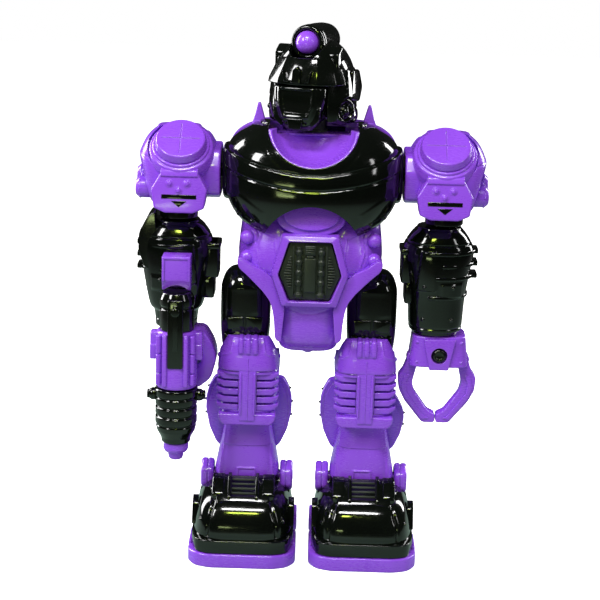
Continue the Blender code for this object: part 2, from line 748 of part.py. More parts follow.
def ankle_pin(side_name):
    leg = SIDES[side_name] * LEG_X
    head = [(0, 26.4), (7.6, 26.4), (9.7, 24.4), (9.7, 19), (2.2, 18.6)]
    other_head = [(radius, -height) for radius, height in reversed(head)]
    pin = turned("pin", head + other_head, (leg, 0, ANKLE_Z), (1, 0, 0), 16)
    return node(pin, f"ankle_pin_{side_name}", "purple_plastic")


def sole(side_name):
    side = SIDES[side_name]
    middle = side * FOOT_X
    half = [(26, 38), (30.4, 33), (30.4, 12), (27.6, 8), (27.6, -2), (30.4, -6), (30.4, -38), (24, -46)]
    outline = [(middle + x, y) for x, y in half] + [(middle - x, y) for x, y in reversed(half)]
    plate = soften(slab("sole", outline, "Z", 0, 8), 0.8)
    wheel = (ROLLER_Y, ROLLER_Z)
    cut(plate, block("roller_room", (middle - 6.5, middle + 6.5), (wheel[0] - 4.6, wheel[0] + 4.6), (-5, 12)))
    cut(plate, rod("pin_room", 1.5, (middle - 9.5, *wheel), (middle + 9.5, *wheel)))
    return node(plate, f"sole_{side_name}", "purple_plastic")


def roller(side_name):
    profile = [(0, 9), (1.2, 9), (1.2, 6), (3.8, 5.6), (3.8, -5.6), (1.2, -6), (1.2, -9), (0, -9)]
    middle = SIDES[side_name] * FOOT_X
    wheel = turned("wheel", profile, (middle, ROLLER_Y, ROLLER_Z), (1, 0, 0), 16)
    return node(wheel, f"foot_roller_{side_name}", "rubber")


# ---------------------------------------------------------------- assembly


def build_torso():
    pieces = [chest_plate(), collar_bib(), front_shell(), vent_grille(), back_shell(), battery_tray()]
    pieces += [battery(index) for index in (1, 2, 3)]
    pieces += [battery_door(), drive_motor(), gearbox_case(), hip_axle(), circuit_board(), speaker()]
    torso = body("torso", (0, 0, 0), pieces)
    body("switch", (0, 24, 155.5), [power_switch()], torso)
    return torso


def build_head(torso):
    pieces = [helmet(), visor(), face_mask(), crest_barrel(), forehead_lamp(), neck_post()]
    pieces += [ear_pod(side_name) for side_name in SIDES]
    head = body("head", NECK, pieces, torso)
    head.rotation_euler = (0, 0, HEAD_TURN)


def build_arm(side_name, torso):
    x = SIDES[side_name] * SHOULDER_X
    pieces = [make(side_name) for make in (shoulder_pod, shoulder_cap, shoulder_booster, shoulder_axle, upper_arm)]
    shoulder = body(f"shoulder_{side_name}", (x, 0, SHOULDER_Z), pieces, torso)
    pieces = [gauntlet(side_name)]
    if side_name == "right":
        pieces += [hand_right(), blaster_sight(), blaster_barrel(), blaster_sleeve(), blaster_nozzle(), blaster_tip()]
    forearm = body(f"forearm_{side_name}", (x, 0, ELBOW_Z), pieces, shoulder)
    if side_name == "left":
        wrist = body("wrist", (x, 0, WRIST_Z), [wrist_block()], forearm)
        body("button", (x, -12, 118), [wrist_button()], wrist)
        for name, side in (("inner", 1), ("outer", -1)):
            pivot = (x - side * CLAW_PIVOT_X, CLAW_Y, CLAW_PIVOT_Z)
            body(f"claw_{name}", pivot, [claw_finger(f"claw_finger_{name}", side)], wrist)


def build_leg(side_name, torso):
    side = SIDES[side_name]
    pieces = [make(side_name) for make in (thigh, shin_guard, calf_shell)]
    leg = body(f"leg_{side_name}", (side * LEG_X, 0, HIP_Z), pieces, torso)
    pieces = [make(side_name) for make in (foot_upper, sole, ankle_pin)]
    foot = body(f"foot_{side_name}", (side * LEG_X, 0, ANKLE_Z), pieces, leg)
    body(f"roller_{side_name}", (side * FOOT_X, ROLLER_Y, ROLLER_Z), [roller(side_name)], foot)


def build():
    global PARTS, TOOLS
    clear_scene()
    PARTS = new_collection("toy_robot", False)
    TOOLS = new_collection("shaping_tools", True)
    make_materials()
    torso = build_torso()
    build_head(torso)
    for side_name in SIDES:
        build_arm(side_name, torso)
        build_leg(side_name, torso)


build()
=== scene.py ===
"""The looks of the toy robot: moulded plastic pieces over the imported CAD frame, with materials and a studio.

Shapes are worked out in millimetres, in the CAD frame: heights are above the floor, the robot faces -Y and
its left is +X. Each mesh is turned into metres when it is made.
"""

import json
import math
from types import SimpleNamespace

import bmesh
import bpy
import numpy as np
from mathutils import Matrix, Vector


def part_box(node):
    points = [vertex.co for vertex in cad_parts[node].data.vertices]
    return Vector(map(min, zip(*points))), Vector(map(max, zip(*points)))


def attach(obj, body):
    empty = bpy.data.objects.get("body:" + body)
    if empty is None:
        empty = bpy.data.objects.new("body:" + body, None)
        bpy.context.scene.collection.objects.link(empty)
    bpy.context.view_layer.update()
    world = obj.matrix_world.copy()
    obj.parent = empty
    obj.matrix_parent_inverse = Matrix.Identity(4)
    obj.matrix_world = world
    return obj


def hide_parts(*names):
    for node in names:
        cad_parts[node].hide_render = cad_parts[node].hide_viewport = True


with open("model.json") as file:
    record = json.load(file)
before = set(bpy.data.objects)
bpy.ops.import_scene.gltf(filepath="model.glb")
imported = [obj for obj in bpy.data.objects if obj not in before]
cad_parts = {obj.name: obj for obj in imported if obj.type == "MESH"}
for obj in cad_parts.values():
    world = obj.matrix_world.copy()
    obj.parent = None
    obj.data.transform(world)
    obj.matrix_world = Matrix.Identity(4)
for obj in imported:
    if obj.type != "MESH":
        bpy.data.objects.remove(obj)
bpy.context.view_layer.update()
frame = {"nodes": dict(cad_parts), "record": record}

MM = 0.001
SIDES = {"right": -1, "left": 1}
RECORD = frame["record"]
BODY_OF = {node: body for body, nodes in RECORD["behaviour"]["bodies"].items() for node in nodes}
SLOT_OF = {row["node"]: row["material_slot"] for row in RECORD["subparts"]}
JOINTS = {joint["name"]: joint for joint in RECORD["behaviour"]["joints"]}
HEAD_TURN = math.radians(-21)
CREASE = math.radians(32)
HIP_BORE = 2.8
SHOULDER_BORE = 4.7
BEYOND = 60
RAY_START = 200
SHELL_GAP = 0.2
MATERIALS = {}


def room(node):
    """A CAD node's box in millimetres."""
    low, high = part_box(node)
    low, high = Vector(low) / MM, Vector(high) / MM
    return SimpleNamespace(lo=low, hi=high, mid=(low + high) / 2, size=high - low)


def joint_place(name):
    """Where a joint is, in millimetres."""
    return Vector(JOINTS[name]["pos_m"]) / MM


# ---------------------------------------------------------------- materials


class Nodes:
    """Short names for adding and joining shader nodes."""

    def __init__(self, name):
        self.material = bpy.data.materials.new(name)
        self.material.use_nodes = True
        self.tree = self.material.node_tree
        self.shader = self.tree.nodes["Principled BSDF"]
        self.place = self.add("ShaderNodeTexCoord").outputs["Object"]

    def add(self, kind, **settings):
        node = self.tree.nodes.new(kind)
        for key, value in settings.items():
            if hasattr(node, key):
                setattr(node, key, value)
            else:
                node.inputs[key].default_value = value
        return node

    def link(self, start, end):
        self.tree.links.new(start, end)

    def feed(self, output, socket):
        self.link(output, self.shader.inputs[socket])

    def noise(self, scale, detail=4.0, stretch=(1, 1, 1)):
        mapping = self.add("ShaderNodeMapping")
        mapping.inputs["Scale"].default_value = stretch
        self.link(self.place, mapping.inputs["Vector"])
        noise = self.add("ShaderNodeTexNoise")
        noise.inputs["Scale"].default_value = scale
        noise.inputs["Detail"].default_value = detail
        self.link(mapping.outputs["Vector"], noise.inputs["Vector"])
        return noise.outputs["Fac"]

    def ramp(self, factor, stops):
        ramp = self.add("ShaderNodeValToRGB")
        elements = ramp.color_ramp.elements
        for index, (position, colour) in enumerate(stops):
            element = elements[index] if index < 2 else elements.new(position)
            element.position = position
            element.color = (*colour, 1)
        self.link(factor, ramp.inputs["Fac"])
        return ramp.outputs["Color"]

    def span(self, factor, low, high, from_low=0.0, from_high=1.0):
        """Moves a value from one range to another."""
        node = self.add("ShaderNodeMapRange")
        node.inputs["From Min"].default_value = from_low
        node.inputs["From Max"].default_value = from_high
        node.inputs["To Min"].default_value = low
        node.inputs["To Max"].default_value = high
        self.link(factor, node.inputs["Value"])
        return node.outputs["Result"]

    def fill(self, value, socket):
        """Gives a socket another node's output, a colour or a number."""
        if isinstance(value, bpy.types.NodeSocket):
            self.link(value, socket)
        else:
            socket.default_value = (*value, 1) if isinstance(value, tuple) else value

    def mix(self, factor, first, second):
        node = self.add("ShaderNodeMix", data_type="RGBA")
        self.fill(factor, node.inputs[0])
        self.fill(first, node.inputs[6])
        self.fill(second, node.inputs[7])
        return node.outputs[2]

    def maths(self, operation, first, second):
        node = self.add("ShaderNodeMath", operation=operation)
        self.fill(first, node.inputs[0])
        self.fill(second, node.inputs[1])
        return node.outputs[0]

    def edges(self, radius):
        """Rounded normals for small edges, and how far they differ from the flat ones."""
        bevel = self.add("ShaderNodeBevel", samples=6)
        bevel.inputs["Radius"].default_value = radius
        geometry = self.add("ShaderNodeNewGeometry")
        dot = self.add("ShaderNodeVectorMath", operation="DOT_PRODUCT")
        self.link(bevel.outputs["Normal"], dot.inputs[0])
        self.link(geometry.outputs["Normal"], dot.inputs[1])
        worn = self.span(dot.outputs["Value"], 1.0, 0.0, 0.80, 0.995)
        return bevel.outputs["Normal"], worn

    def bump(self, height, strength, distance, normal=None):
        node = self.add("ShaderNodeBump")
        node.inputs["Strength"].default_value = strength
        node.inputs["Distance"].default_value = distance
        self.link(height, node.inputs["Height"])
        if normal is not None:
            self.link(normal, node.inputs["Normal"])
        return node.outputs["Normal"]


def moulded_plastic(name, dark, light, worn_colour, roughness, coat):
    """Injection-moulded plastic: flow marks in the colour, fine scuffs in the gloss, rubbed edges."""
    edge, grain = 0.0005, 0.02
    n = Nodes(name)
    flow = n.noise(22, 3, (1, 1, 0.35))
    colour = n.ramp(flow, [(0.3, dark), (0.7, light)])
    rounded, worn = n.edges(edge)
    rubbed = n.maths("MULTIPLY", worn, n.span(n.noise(160, 5), 0.1, 0.8))
    colour = n.mix(rubbed, colour, worn_colour)
    n.feed(colour, "Base Color")
    scuffs = n.noise(420, 6, (1, 1, 6))
    patches = n.noise(48, 4)
    level = n.maths("ADD", n.span(scuffs, -0.05, 0.07, 0.3, 0.75), n.span(patches, *roughness, 0.35, 0.7))
    n.feed(level, "Roughness")
    n.shader.inputs["Coat Weight"].default_value = coat
    n.shader.inputs["Coat Roughness"].default_value = 0.06
    n.shader.inputs["IOR"].default_value = 1.52
    n.feed(n.bump(n.noise(2400, 3), grain, 0.0002, rounded), "Normal")
    MATERIALS[name] = n.material


def brushed_steel():
    n = Nodes("steel")
    lines = n.noise(900, 4, (1, 1, 0.05))
    n.feed(n.ramp(lines, [(0.3, (0.38, 0.38, 0.40)), (0.7, (0.62, 0.62, 0.64))]), "Base Color")
    n.feed(n.span(lines, 0.22, 0.42), "Roughness")
    n.shader.inputs["Metallic"].default_value = 1.0
    n.feed(n.bump(lines, 0.15, 0.0001), "Normal")
    MATERIALS["steel"] = n.material


def cell_jacket():
    """A printed jacket: a broad light band on a dark green wrap."""
    n = Nodes("battery_jacket")
    split = n.add("ShaderNodeSeparateXYZ")
    n.link(n.place, split.inputs[0])
    band = n.span(split.outputs["Z"], 0, 1, 0.214, 0.2142)
    wrap = n.ramp(n.noise(60), [(0.3, (0.01, 0.06, 0.035)), (0.7, (0.02, 0.10, 0.06))])
    n.feed(n.mix(band, wrap, (0.55, 0.42, 0.12)), "Base Color")
    n.feed(n.span(n.noise(300), 0.22, 0.4), "Roughness")
    MATERIALS["battery_jacket"] = n.material


def circuit_laminate():
    """Green solder mask with lighter copper tracks under it."""
    n = Nodes("circuit_laminate")
    voronoi = n.add("ShaderNodeTexVoronoi", feature="DISTANCE_TO_EDGE")
    voronoi.inputs["Scale"].default_value = 260
    n.link(n.place, voronoi.inputs["Vector"])
    tracks = n.ramp(voronoi.outputs["Distance"], [(0.04, (0.05, 0.26, 0.09)), (0.09, (0.01, 0.10, 0.03))])
    n.feed(tracks, "Base Color")
    n.feed(n.span(n.noise(500), 0.3, 0.5), "Roughness")
    MATERIALS["circuit_laminate"] = n.material


def ribbed_rubber():
    n = Nodes("rubber")
    n.feed(n.ramp(n.noise(300), [(0.3, (0.012,) * 3), (0.7, (0.03,) * 3)]), "Base Color")
    n.feed(n.span(n.noise(700), 0.6, 0.85), "Roughness")
    n.feed(n.bump(n.noise(1500), 0.3, 0.0003), "Normal")
    MATERIALS["rubber"] = n.material


def make_materials():
    # dark colour, light colour, colour where rubbed, range of roughness, gloss coat
    plastics = {
        "purple_plastic": (
            (0.195, 0.046, 0.58), (0.235, 0.058, 0.68), (0.50, 0.24, 0.93), (0.22, 0.34), 0.3,
        ),
        "black_plastic": (
            (0.0012, 0.0018, 0.0013), (0.0024, 0.0034, 0.0024), (0.014, 0.018, 0.013), (0.07, 0.13), 0.2,
        ),
        "vent_plastic": (
            (0.010, 0.014, 0.010), (0.018, 0.024, 0.017), (0.06, 0.07, 0.06), (0.34, 0.48), 0.0,
        ),
        "inner_plastic": ((0.03, 0.03, 0.033), (0.05, 0.05, 0.055), (0.1,) * 3, (0.4, 0.55), 0.0),
    }
    for name, look in plastics.items():
        moulded_plastic(name, *look)
    brushed_steel()
    cell_jacket()
    circuit_laminate()
    ribbed_rubber()


# ---------------------------------------------------------------- mesh building


def to_object(name, builder):
    """Turns a bmesh in millimetres into an object in metres with smooth shading and sharp edges kept."""
    bmesh.ops.recalc_face_normals(builder, faces=builder.faces)
    builder.transform(Matrix.Scale(MM, 4))
    mesh = bpy.data.meshes.new(name)
    builder.to_mesh(mesh)
    builder.free()
    obj = bpy.data.objects.new(name, mesh)
    bpy.context.scene.collection.objects.link(obj)
    return smooth(obj)


def smooth(obj):
    obj.data.shade_smooth()
    obj.data.set_sharp_from_angle(angle=CREASE)
    return obj


def loft(name, rings, closed=False):
    """Skins rings of equal length. A closed loft joins its last ring to its first; an open one is capped."""
    builder = bmesh.new()
    rows = [[builder.verts.new(point) for point in ring] for ring in rings]
    count = len(rings[0])
    pairs = list(zip(rows, rows[1:]))
    if closed:
        pairs.append((rows[-1], rows[0]))
    for low, high in pairs:
        for i in range(count):
            j = (i + 1) % count
            builder.faces.new((low[i], low[j], high[j], high[i]))
    if not closed:
        builder.faces.new(rows[0])
        builder.faces.new(rows[-1])
    return to_object(name, builder)


def squircle(centre, z, half, power, count):
    """A level rounded section: an ellipse at power 2, and closer to a box the higher the power."""
    ring = []
    for i in range(count):
        angle = 2 * math.pi * (i + 0.5) / count
        c, s = math.cos(angle), math.sin(angle)
        x = math.copysign(abs(c) ** (2 / power), c) * half[0]
        y = math.copysign(abs(s) ** (2 / power), s) * half[1]
        ring.append((centre[0] + x, centre[1] + y, z))
    return ring


def resampled(table, rows):
    """Smooth curve through a table's rows (Catmull-Rom), with the ends kept."""
    table = np.array(table, float)
    padded = np.vstack([table[0], table, table[-1]])
    result = []
    for step in np.linspace(0, len(table) - 1, rows):
        i = min(int(step), len(table) - 2)
        t = step - i
        a, b, c, d = padded[i : i + 4]
        bend = (2 * a - 5 * b + 4 * c - d) * t**2 + (3 * b - a - 3 * c + d) * t**3
        result.append(0.5 * (2 * b + (c - a) * t + bend))
    return np.array(result)


def with_round_ends(table, radius):
    """Rounds both end edges of a table of sections, within its height."""
    steps = 5
    low, high = table[0][0] + radius, table[-1][0] - radius
    middle = [row for row in table if low < row[0] < high]

    def quarter(level, direction):
        row = [np.interp(level, table[:, 0], table[:, column]) for column in range(1, table.shape[1])]
        made = []
        for angle in np.linspace(0, math.pi / 2, steps + 1):
            shrink = radius * (1 - math.cos(angle))
            z = level + direction * radius * math.sin(angle)
            made.append([z, row[0] - shrink, row[1] - shrink, *row[2:]])
        return made

    return quarter(low, -1)[::-1] + middle + quarter(high, 1)


def stack(name, layers, centre=(0, 0), power=2.6, count=96, rows=60, rounding=0.0):
    """A body through level rounded sections: height, half width, half depth, then any shift in X and Y."""
    layers = [tuple(layer) + (0, 0) if len(layer) == 3 else tuple(layer) for layer in layers]
    table = resampled(layers, rows) if rows else np.array(layers, float)
    if rounding:
        table = with_round_ends(table, rounding)
    rings = [squircle((centre[0] + row[3], centre[1] + row[4]), row[0], (row[1], row[2]), power, count)
             for row in table]
    return loft(name, rings)


def fill_corners(points, radius, closed, steps=4):
    """Rounds the corners of a 2D path with small arcs."""
    count = len(points)
    result = []
    for i, point in enumerate(points):
        if not closed and i in (0, count - 1):
            result.append(point)
            continue
        here = Vector(point)
        before = Vector(points[i - 1]) - here
        after = Vector(points[(i + 1) % count]) - here
        reach = min(radius, before.length * 0.45, after.length * 0.45)
        start = here + before.normalized() * reach
        end = here + after.normalized() * reach
        for j in range(steps + 1):
            t = j / steps
            spot = start * (1 - t) ** 2 + here * 2 * t * (1 - t) + end * t**2
            result.append(tuple(spot))
    return result


def turned(name, profile, at=(0, 0, 0), axis=(0, 0, 1), count=64, rounding=0.35):
    """A round piece from radius and height pairs that start and end on its axis."""
    path = fill_corners(profile, rounding, False) if rounding else profile
    turn = Vector((0, 0, 1)).rotation_difference(Vector(axis)).to_matrix()
    builder = bmesh.new()
    rows = []
    for radius, height in path:
        if radius < 1e-6:
            rows.append([builder.verts.new(turn @ Vector((0, 0, height)) + Vector(at))])
            continue
        row = []
        for i in range(count):
            angle = 2 * math.pi * i / count
            spot = Vector((radius * math.cos(angle), radius * math.sin(angle), height))
            row.append(builder.verts.new(turn @ spot + Vector(at)))
        rows.append(row)
    for low, high in zip(rows, rows[1:]):
        for i in range(count):
            j = (i + 1) % count
            corners = [low[i % len(low)], low[j % len(low)], high[j % len(high)], high[i % len(high)]]
            corners = list(dict.fromkeys(corners))
            if len(corners) > 2:
                builder.faces.new(corners)
    return to_object(name, builder)


def rod(name, radius, start, end, count=32, rounding=0.3):
    start, end = Vector(start), Vector(end)
    length = (end - start).length
    return turned(name, [(0, length), (radius, length), (radius, 0), (0, 0)], start, end - start,
                  count=count, rounding=rounding)


def ball(name, radius, at, count=32):
    steps = count // 2
    profile = [(radius * math.sin(math.pi * i / steps), radius * math.cos(math.pi * i / steps))
               for i in range(steps + 1)]
    profile[0], profile[-1] = (0, radius), (0, -radius)
    return turned(name, profile, at, count=count, rounding=0)


def slab(name, outline, axis, low, high, bevel=0.5, corner=0.0, segments=3):
    """An outline pushed along an axis, with rounded edges. It holds the other two coordinates in order."""
    if corner:
        outline = fill_corners(outline, corner, True)
    spot = "XYZ".index(axis)
    builder = bmesh.new()
    rows = []
    for level in sorted((low, high)):
        row = []
        for point in outline:
            place = list(point)
            place.insert(spot, level)
            row.append(builder.verts.new(place))
        rows.append(row)
    count = len(outline)
    for i in range(count):
        j = (i + 1) % count
        builder.faces.new((rows[0][i], rows[0][j], rows[1][j], rows[1][i]))
    builder.faces.new(rows[0])
    builder.faces.new(rows[1])
    obj = to_object(name, builder)
    return round_edges(obj, bevel, segments) if bevel else obj


def block(name, x, y, z, bevel=0.5):
    x, y = sorted(x), sorted(y)
    return slab(name, [(x[0], y[0]), (x[1], y[0]), (x[1], y[1]), (x[0], y[1])], "Z", *sorted(z), bevel)


def arc_points(centre, radius, start, end, steps=12):
    """Points along an arc, with its start and end in degrees."""
    points = []
    for i in range(steps + 1):
        angle = math.radians(start + (end - start) * i / steps)
        points.append((centre[0] + radius * math.cos(angle), centre[1] + radius * math.sin(angle)))
    return points


def across(outline, middle=0.0, way=1):
    """An outline whose first coordinate is measured from a middle line, to one side."""
    return [(middle + way * u, v) for u, v in outline]


# ---------------------------------------------------------------- mesh changes


def settle(obj):
    """Turns an object's modifiers into its mesh."""
    bpy.context.view_layer.update()
    mesh = bpy.data.meshes.new_from_object(obj.evaluated_get(bpy.context.evaluated_depsgraph_get()))
    obj.modifiers.clear()
    obj.data = mesh
    return smooth(obj)


def round_edges(obj, width, segments=3, sharper_than=35):
    """Rounds the edges whose faces meet at more than an angle in degrees."""
    modifier = obj.modifiers.new("rounded edges", "BEVEL")
    modifier.width = width * MM
    modifier.segments = segments
    modifier.limit_method = "ANGLE"
    modifier.angle_limit = math.radians(sharper_than)
    return settle(obj)


def carve(obj, *cutters):
    """Cuts shapes out of an object and removes the cutters."""
    for cutter in cutters:
        boolean = obj.modifiers.new("carve", "BOOLEAN")
        boolean.operation = "DIFFERENCE"
        boolean.solver = "EXACT"
        boolean.object = cutter
        settle(obj)
        bpy.data.objects.remove(cutter, do_unlink=True)
    return obj


def slice_off(obj, point, normal):
    """Removes what lies on the normal's side of a plane and closes the cut."""
    builder = bmesh.new()
    builder.from_mesh(obj.data)
    everything = builder.verts[:] + builder.edges[:] + builder.faces[:]
    cut = bmesh.ops.bisect_plane(
        builder, geom=everything, dist=1e-7, plane_co=Vector(point) * MM, plane_no=normal, clear_outer=True
    )
    rim = [item for item in cut["geom_cut"] if isinstance(item, bmesh.types.BMEdge)]
    bmesh.ops.contextual_create(builder, geom=rim)
    bmesh.ops.recalc_face_normals(builder, faces=builder.faces)
    builder.to_mesh(obj.data)
    builder.free()
    return smooth(obj)


def keep_front(obj):
    """Cuts away what lies behind the seam between the front shells and the back shell."""
    return slice_off(obj, (0, -SHELL_GAP, 0), (0, 1, 0))


def sculpt(obj, height):
    """Moves each point along its normal by height(x, y, z, normals), all arrays in millimetres.

    Every height function takes all four, whether it needs them or not.
    """
    mesh = obj.data
    count = len(mesh.vertices)
    places = np.empty(count * 3)
    normals = np.empty(count * 3)
    mesh.vertices.foreach_get("co", places)
    mesh.vertices.foreach_get("normal", normals)
    places, normals = places.reshape(-1, 3) / MM, normals.reshape(-1, 3)
    lift = height(places[:, 0], places[:, 1], places[:, 2], normals)
    mesh.vertices.foreach_set("co", ((places + normals * lift[:, None]) * MM).ravel())
    mesh.update()
    return smooth(obj)


def ramp_up(values, start, end):
    """0 at the start and 1 at the end, with a smooth slope between."""
    t = np.clip((values - start) / (end - start), 0, 1)
    return t * t * (3 - 2 * t)


def groove(distance, width, depth):
    """A rounded line where the distance is 0. A negative depth makes it a ridge."""
    return -depth * np.exp(-((distance / width) ** 2))


def line_distance(u, v, points):
    """Distance from points (u, v) to a path."""
    best = np.full(u.shape, 1e9)
    for (u0, v0), (u1, v1) in zip(points, points[1:]):
        du, dv = u1 - u0, v1 - v0
        t = np.clip(((u - u0) * du + (v - v0) * dv) / (du * du + dv * dv), 0, 1)
        best = np.minimum(best, np.hypot(u - u0 - t * du, v - v0 - t * dv))
    return best


def plate(u, v, outline, edge=0.35):
    """1 inside an outline, 0 outside, with a short slope between."""
    closed = list(outline) + [outline[0]]
    inside = np.zeros(u.shape, bool)
    for (u0, v0), (u1, v1) in zip(closed, closed[1:]):
        crosses = (v0 > v) != (v1 > v)
        with np.errstate(divide="ignore", invalid="ignore"):
            inside ^= crosses & (u < (u1 - u0) * (v - v0) / (v1 - v0) + u0)
    distance = line_distance(u, v, closed) * np.where(inside, 1, -1)
    return ramp_up(distance, -edge, edge)


def both_sides(outline):
    """An outline and its mirror image, for a robot that is the same on both sides."""
    return [outline, across(outline, way=-1)]


def turn_about(obj, angle, place):
    """Turns a mesh about the upright line through a place."""
    centre = Vector(place) * MM
    turn = Matrix.Rotation(angle, 4, "Z")
    obj.data.transform(Matrix.Translation(centre) @ turn @ Matrix.Translation(-centre))
    return obj


def surface_at(obj, x, z):
    """The place and normal where a look along Y from the front first meets an object, in millimetres."""
    bpy.context.view_layer.update()
    found, place, normal, _ = obj.ray_cast(Vector((x, -RAY_START, z)) * MM, Vector((0, 1, 0)))
    return (place / MM, normal) if found else (Vector((x, 0, z)), Vector((0, -1, 0)))


def rivet(name, obj, x, z, radius):
    """A domed rivet with a collar, seated on a surface."""
    place, normal = surface_at(obj, x, z)
    profile = [(0, radius * 0.75), (radius * 0.55, radius * 0.55), (radius * 0.75, radius * 0.12)]
    profile += [(radius * 1.15, radius * 0.12), (radius * 1.2, -radius), (0, -radius)]
    return turned(name, profile, place, normal, count=28, rounding=0.15)


def axle_room(radius, joint, start=-BEYOND, end=BEYOND):
    """A cutter along X that leaves room for an axle through a joint."""
    z = joint_place(joint).z
    return rod("axle_room", radius, (start, 0, z), (end, 0, z), count=32, rounding=0)


def screw_head(name, at, axis, radius):
    """A pan-head screw with a cross recess."""
    head = turned(name, [(0, 0.7 * radius), (0.7 * radius, 0.6 * radius), (radius, 0), (0, 0)], at, axis,
                  count=36, rounding=0.2)
    direction = Vector(axis).normalized()
    turn = Vector((0, 0, 1)).rotation_difference(direction).to_matrix().to_4x4()
    for size in ((0.62, 0.16), (0.16, 0.62)):
        bar = block("recess", (-size[0] * radius, size[0] * radius), (-size[1] * radius, size[1] * radius),
                    (0.25 * radius, 2 * radius), 0)
        bar.data.transform(Matrix.Translation(Vector(at) * MM) @ turn)
        carve(head, bar)
    return head


def stand_for(pieces, node, material=None):
    """Gives finished pieces their material and ties them to the CAD node that they stand for."""
    pieces = pieces if isinstance(pieces, (list, tuple)) else [pieces]
    for index, piece in enumerate(pieces):
        piece.name = f"{node}_{index}" if index else f"{node}_skin"
        slot = material or SLOT_OF[node]
        piece.data.materials.clear()
        piece.data.materials.append(MATERIALS[slot])
        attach(piece, BODY_OF[node])
        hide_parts(node)


# ---------------------------------------------------------------- torso


def belt_line(x, middle, rise):
    """The height of a line round the chest: lowest in the middle and rising to the sides."""
    return middle + rise * (np.abs(x) / 43) ** 1.7


def chest():
    cad = room("chest_plate")
    top, half, deep = cad.hi.z, cad.hi.x, -cad.lo.y
    layers = [(top - 62, 0.56 * half, 0.76 * deep), (top - 57, 0.74 * half, 0.86 * deep),
              (top - 50, 0.88 * half, 0.94 * deep), (top - 41, 0.97 * half, deep), (top - 33, half, deep),
              (top - 24, half, 0.98 * deep), (top - 15, 0.97 * half, 0.90 * deep),
              (top - 8, 0.87 * half, 0.76 * deep), (top - 3, 0.70 * half, 0.60 * deep),
              (top, 0.54 * half, 0.42 * deep)]
    shell = stack("chest", layers, power=2.8, count=240, rows=160, rounding=1.2)

    def carving(x, y, z, normals):
        upper = z - belt_line(x, top - 25, 8.6)
        lower = z - belt_line(x, top - 33.4, 7.4)
        belt = ramp_up(-upper, -0.4, 0.4) * ramp_up(lower, -0.4, 0.4)
        lines = groove(upper, 0.55, 0.8) + groove(lower, 0.55, 0.8)
        collar = groove(np.hypot(x, (z - top) * 1.05) - 27.5, 0.4, 0.35)
        pads = 0
        for outline in both_sides([(27, top - 54), (43, top - 46), (49, top - 36), (38, top - 38),
                                   (26, top - 46)]):
            pads = pads + plate(x, z, outline, 0.5)
        return (0.55 * belt + lines + collar + 0.35 * pads) * (normals[:, 1] < 0.1)

    sculpt(shell, carving)
    keep_front(shell)
    inside = stack("inside", [(z - 0.3, hx - 2.6, hy - 2.6) for z, hx, hy in layers[1:-1]],
                   power=2.8, rows=40)
    arch_outline = arc_points((0, top - 68.5), 27, 0, 180, 48) + [(-27, top - 90), (27, top - 90)]
    arch = slab("arch", arch_outline, "Y", -60, -8, 0)
    carve(shell, inside, arch)
    bib_axis = Vector((0, -0.83, 0.56))
    centre = Vector((0, -21, top - 2))
    carve(shell, rod("bib_room", 24.7, centre - 12.6 * bib_axis, centre + 60 * bib_axis,
                     count=96, rounding=0))
    carve(shell, block("neck_room", (-24, 24), (-14, 5), (top - 11, top + 20), 0))
    for side in SIDES.values():
        carve(shell, axle_room(SHOULDER_BORE, "shoulder_swing_left", side * 40, side * BEYOND))
    pieces = [shell]
    for side in SIDES.values():
        for x, z in ((39.5, top - 49), (32, top - 52)):
            pieces.append(rivet("rivet", shell, side * x, z, 2.0))
        ring = [(0, 49.4), (13.6, 49.4), (15.4, 48.6), (16, 47), (16, 44), (0, 44)]
        pieces.append(turned("shoulder_ring", ring, (0, 0, top - 29), (side, 0, 0), count=72, rounding=0.6))
        keep_front(pieces[-1])
        carve(pieces[-1], axle_room(SHOULDER_BORE, "shoulder_swing_left", side * 40, side * BEYOND))
    stand_for(pieces, "chest_plate")


def collar():
    cad = room("collar_bib")
    level = cad.hi.z
    centre = Vector((0, -21, level + 1))
    axis = Vector((0, -0.83, 0.56))
    bowl = [(0, -10), (7, -9.7), (13, -8.2), (18, -5.6), (21.4, -2.2), (22.6, 0.6), (23.8, 0.9), (24.4, 0),
            (24.4, -2), (21, -7), (13, -10.4), (0, -12)]
    dish = turned("dish", bowl, centre, axis, count=120, rounding=1.2)
    slice_off(dish, (0, 0, level), (0, 0, 1))
    carve(dish, block("chin_room", (-20, 20), (-20, 30), (level - 2.5, level + 30), 0))
    floor = block("neck_floor", (-23, 23), (-14, -0.6), (level - 3.9, level - 2.6), 0.3)
    carve(floor, rod("post_room", 8.2, (0, 0, level - 20), (0, 0, level + 20), count=48, rounding=0))
    stand_for([dish, floor], "collar_bib")


BELLY = [
    (0, 0.76, 0.66), (4, 0.9, 0.86), (10, 0.96, 0.94), (23, 0.98, 0.98), (36, 1.0, 1.0),
]


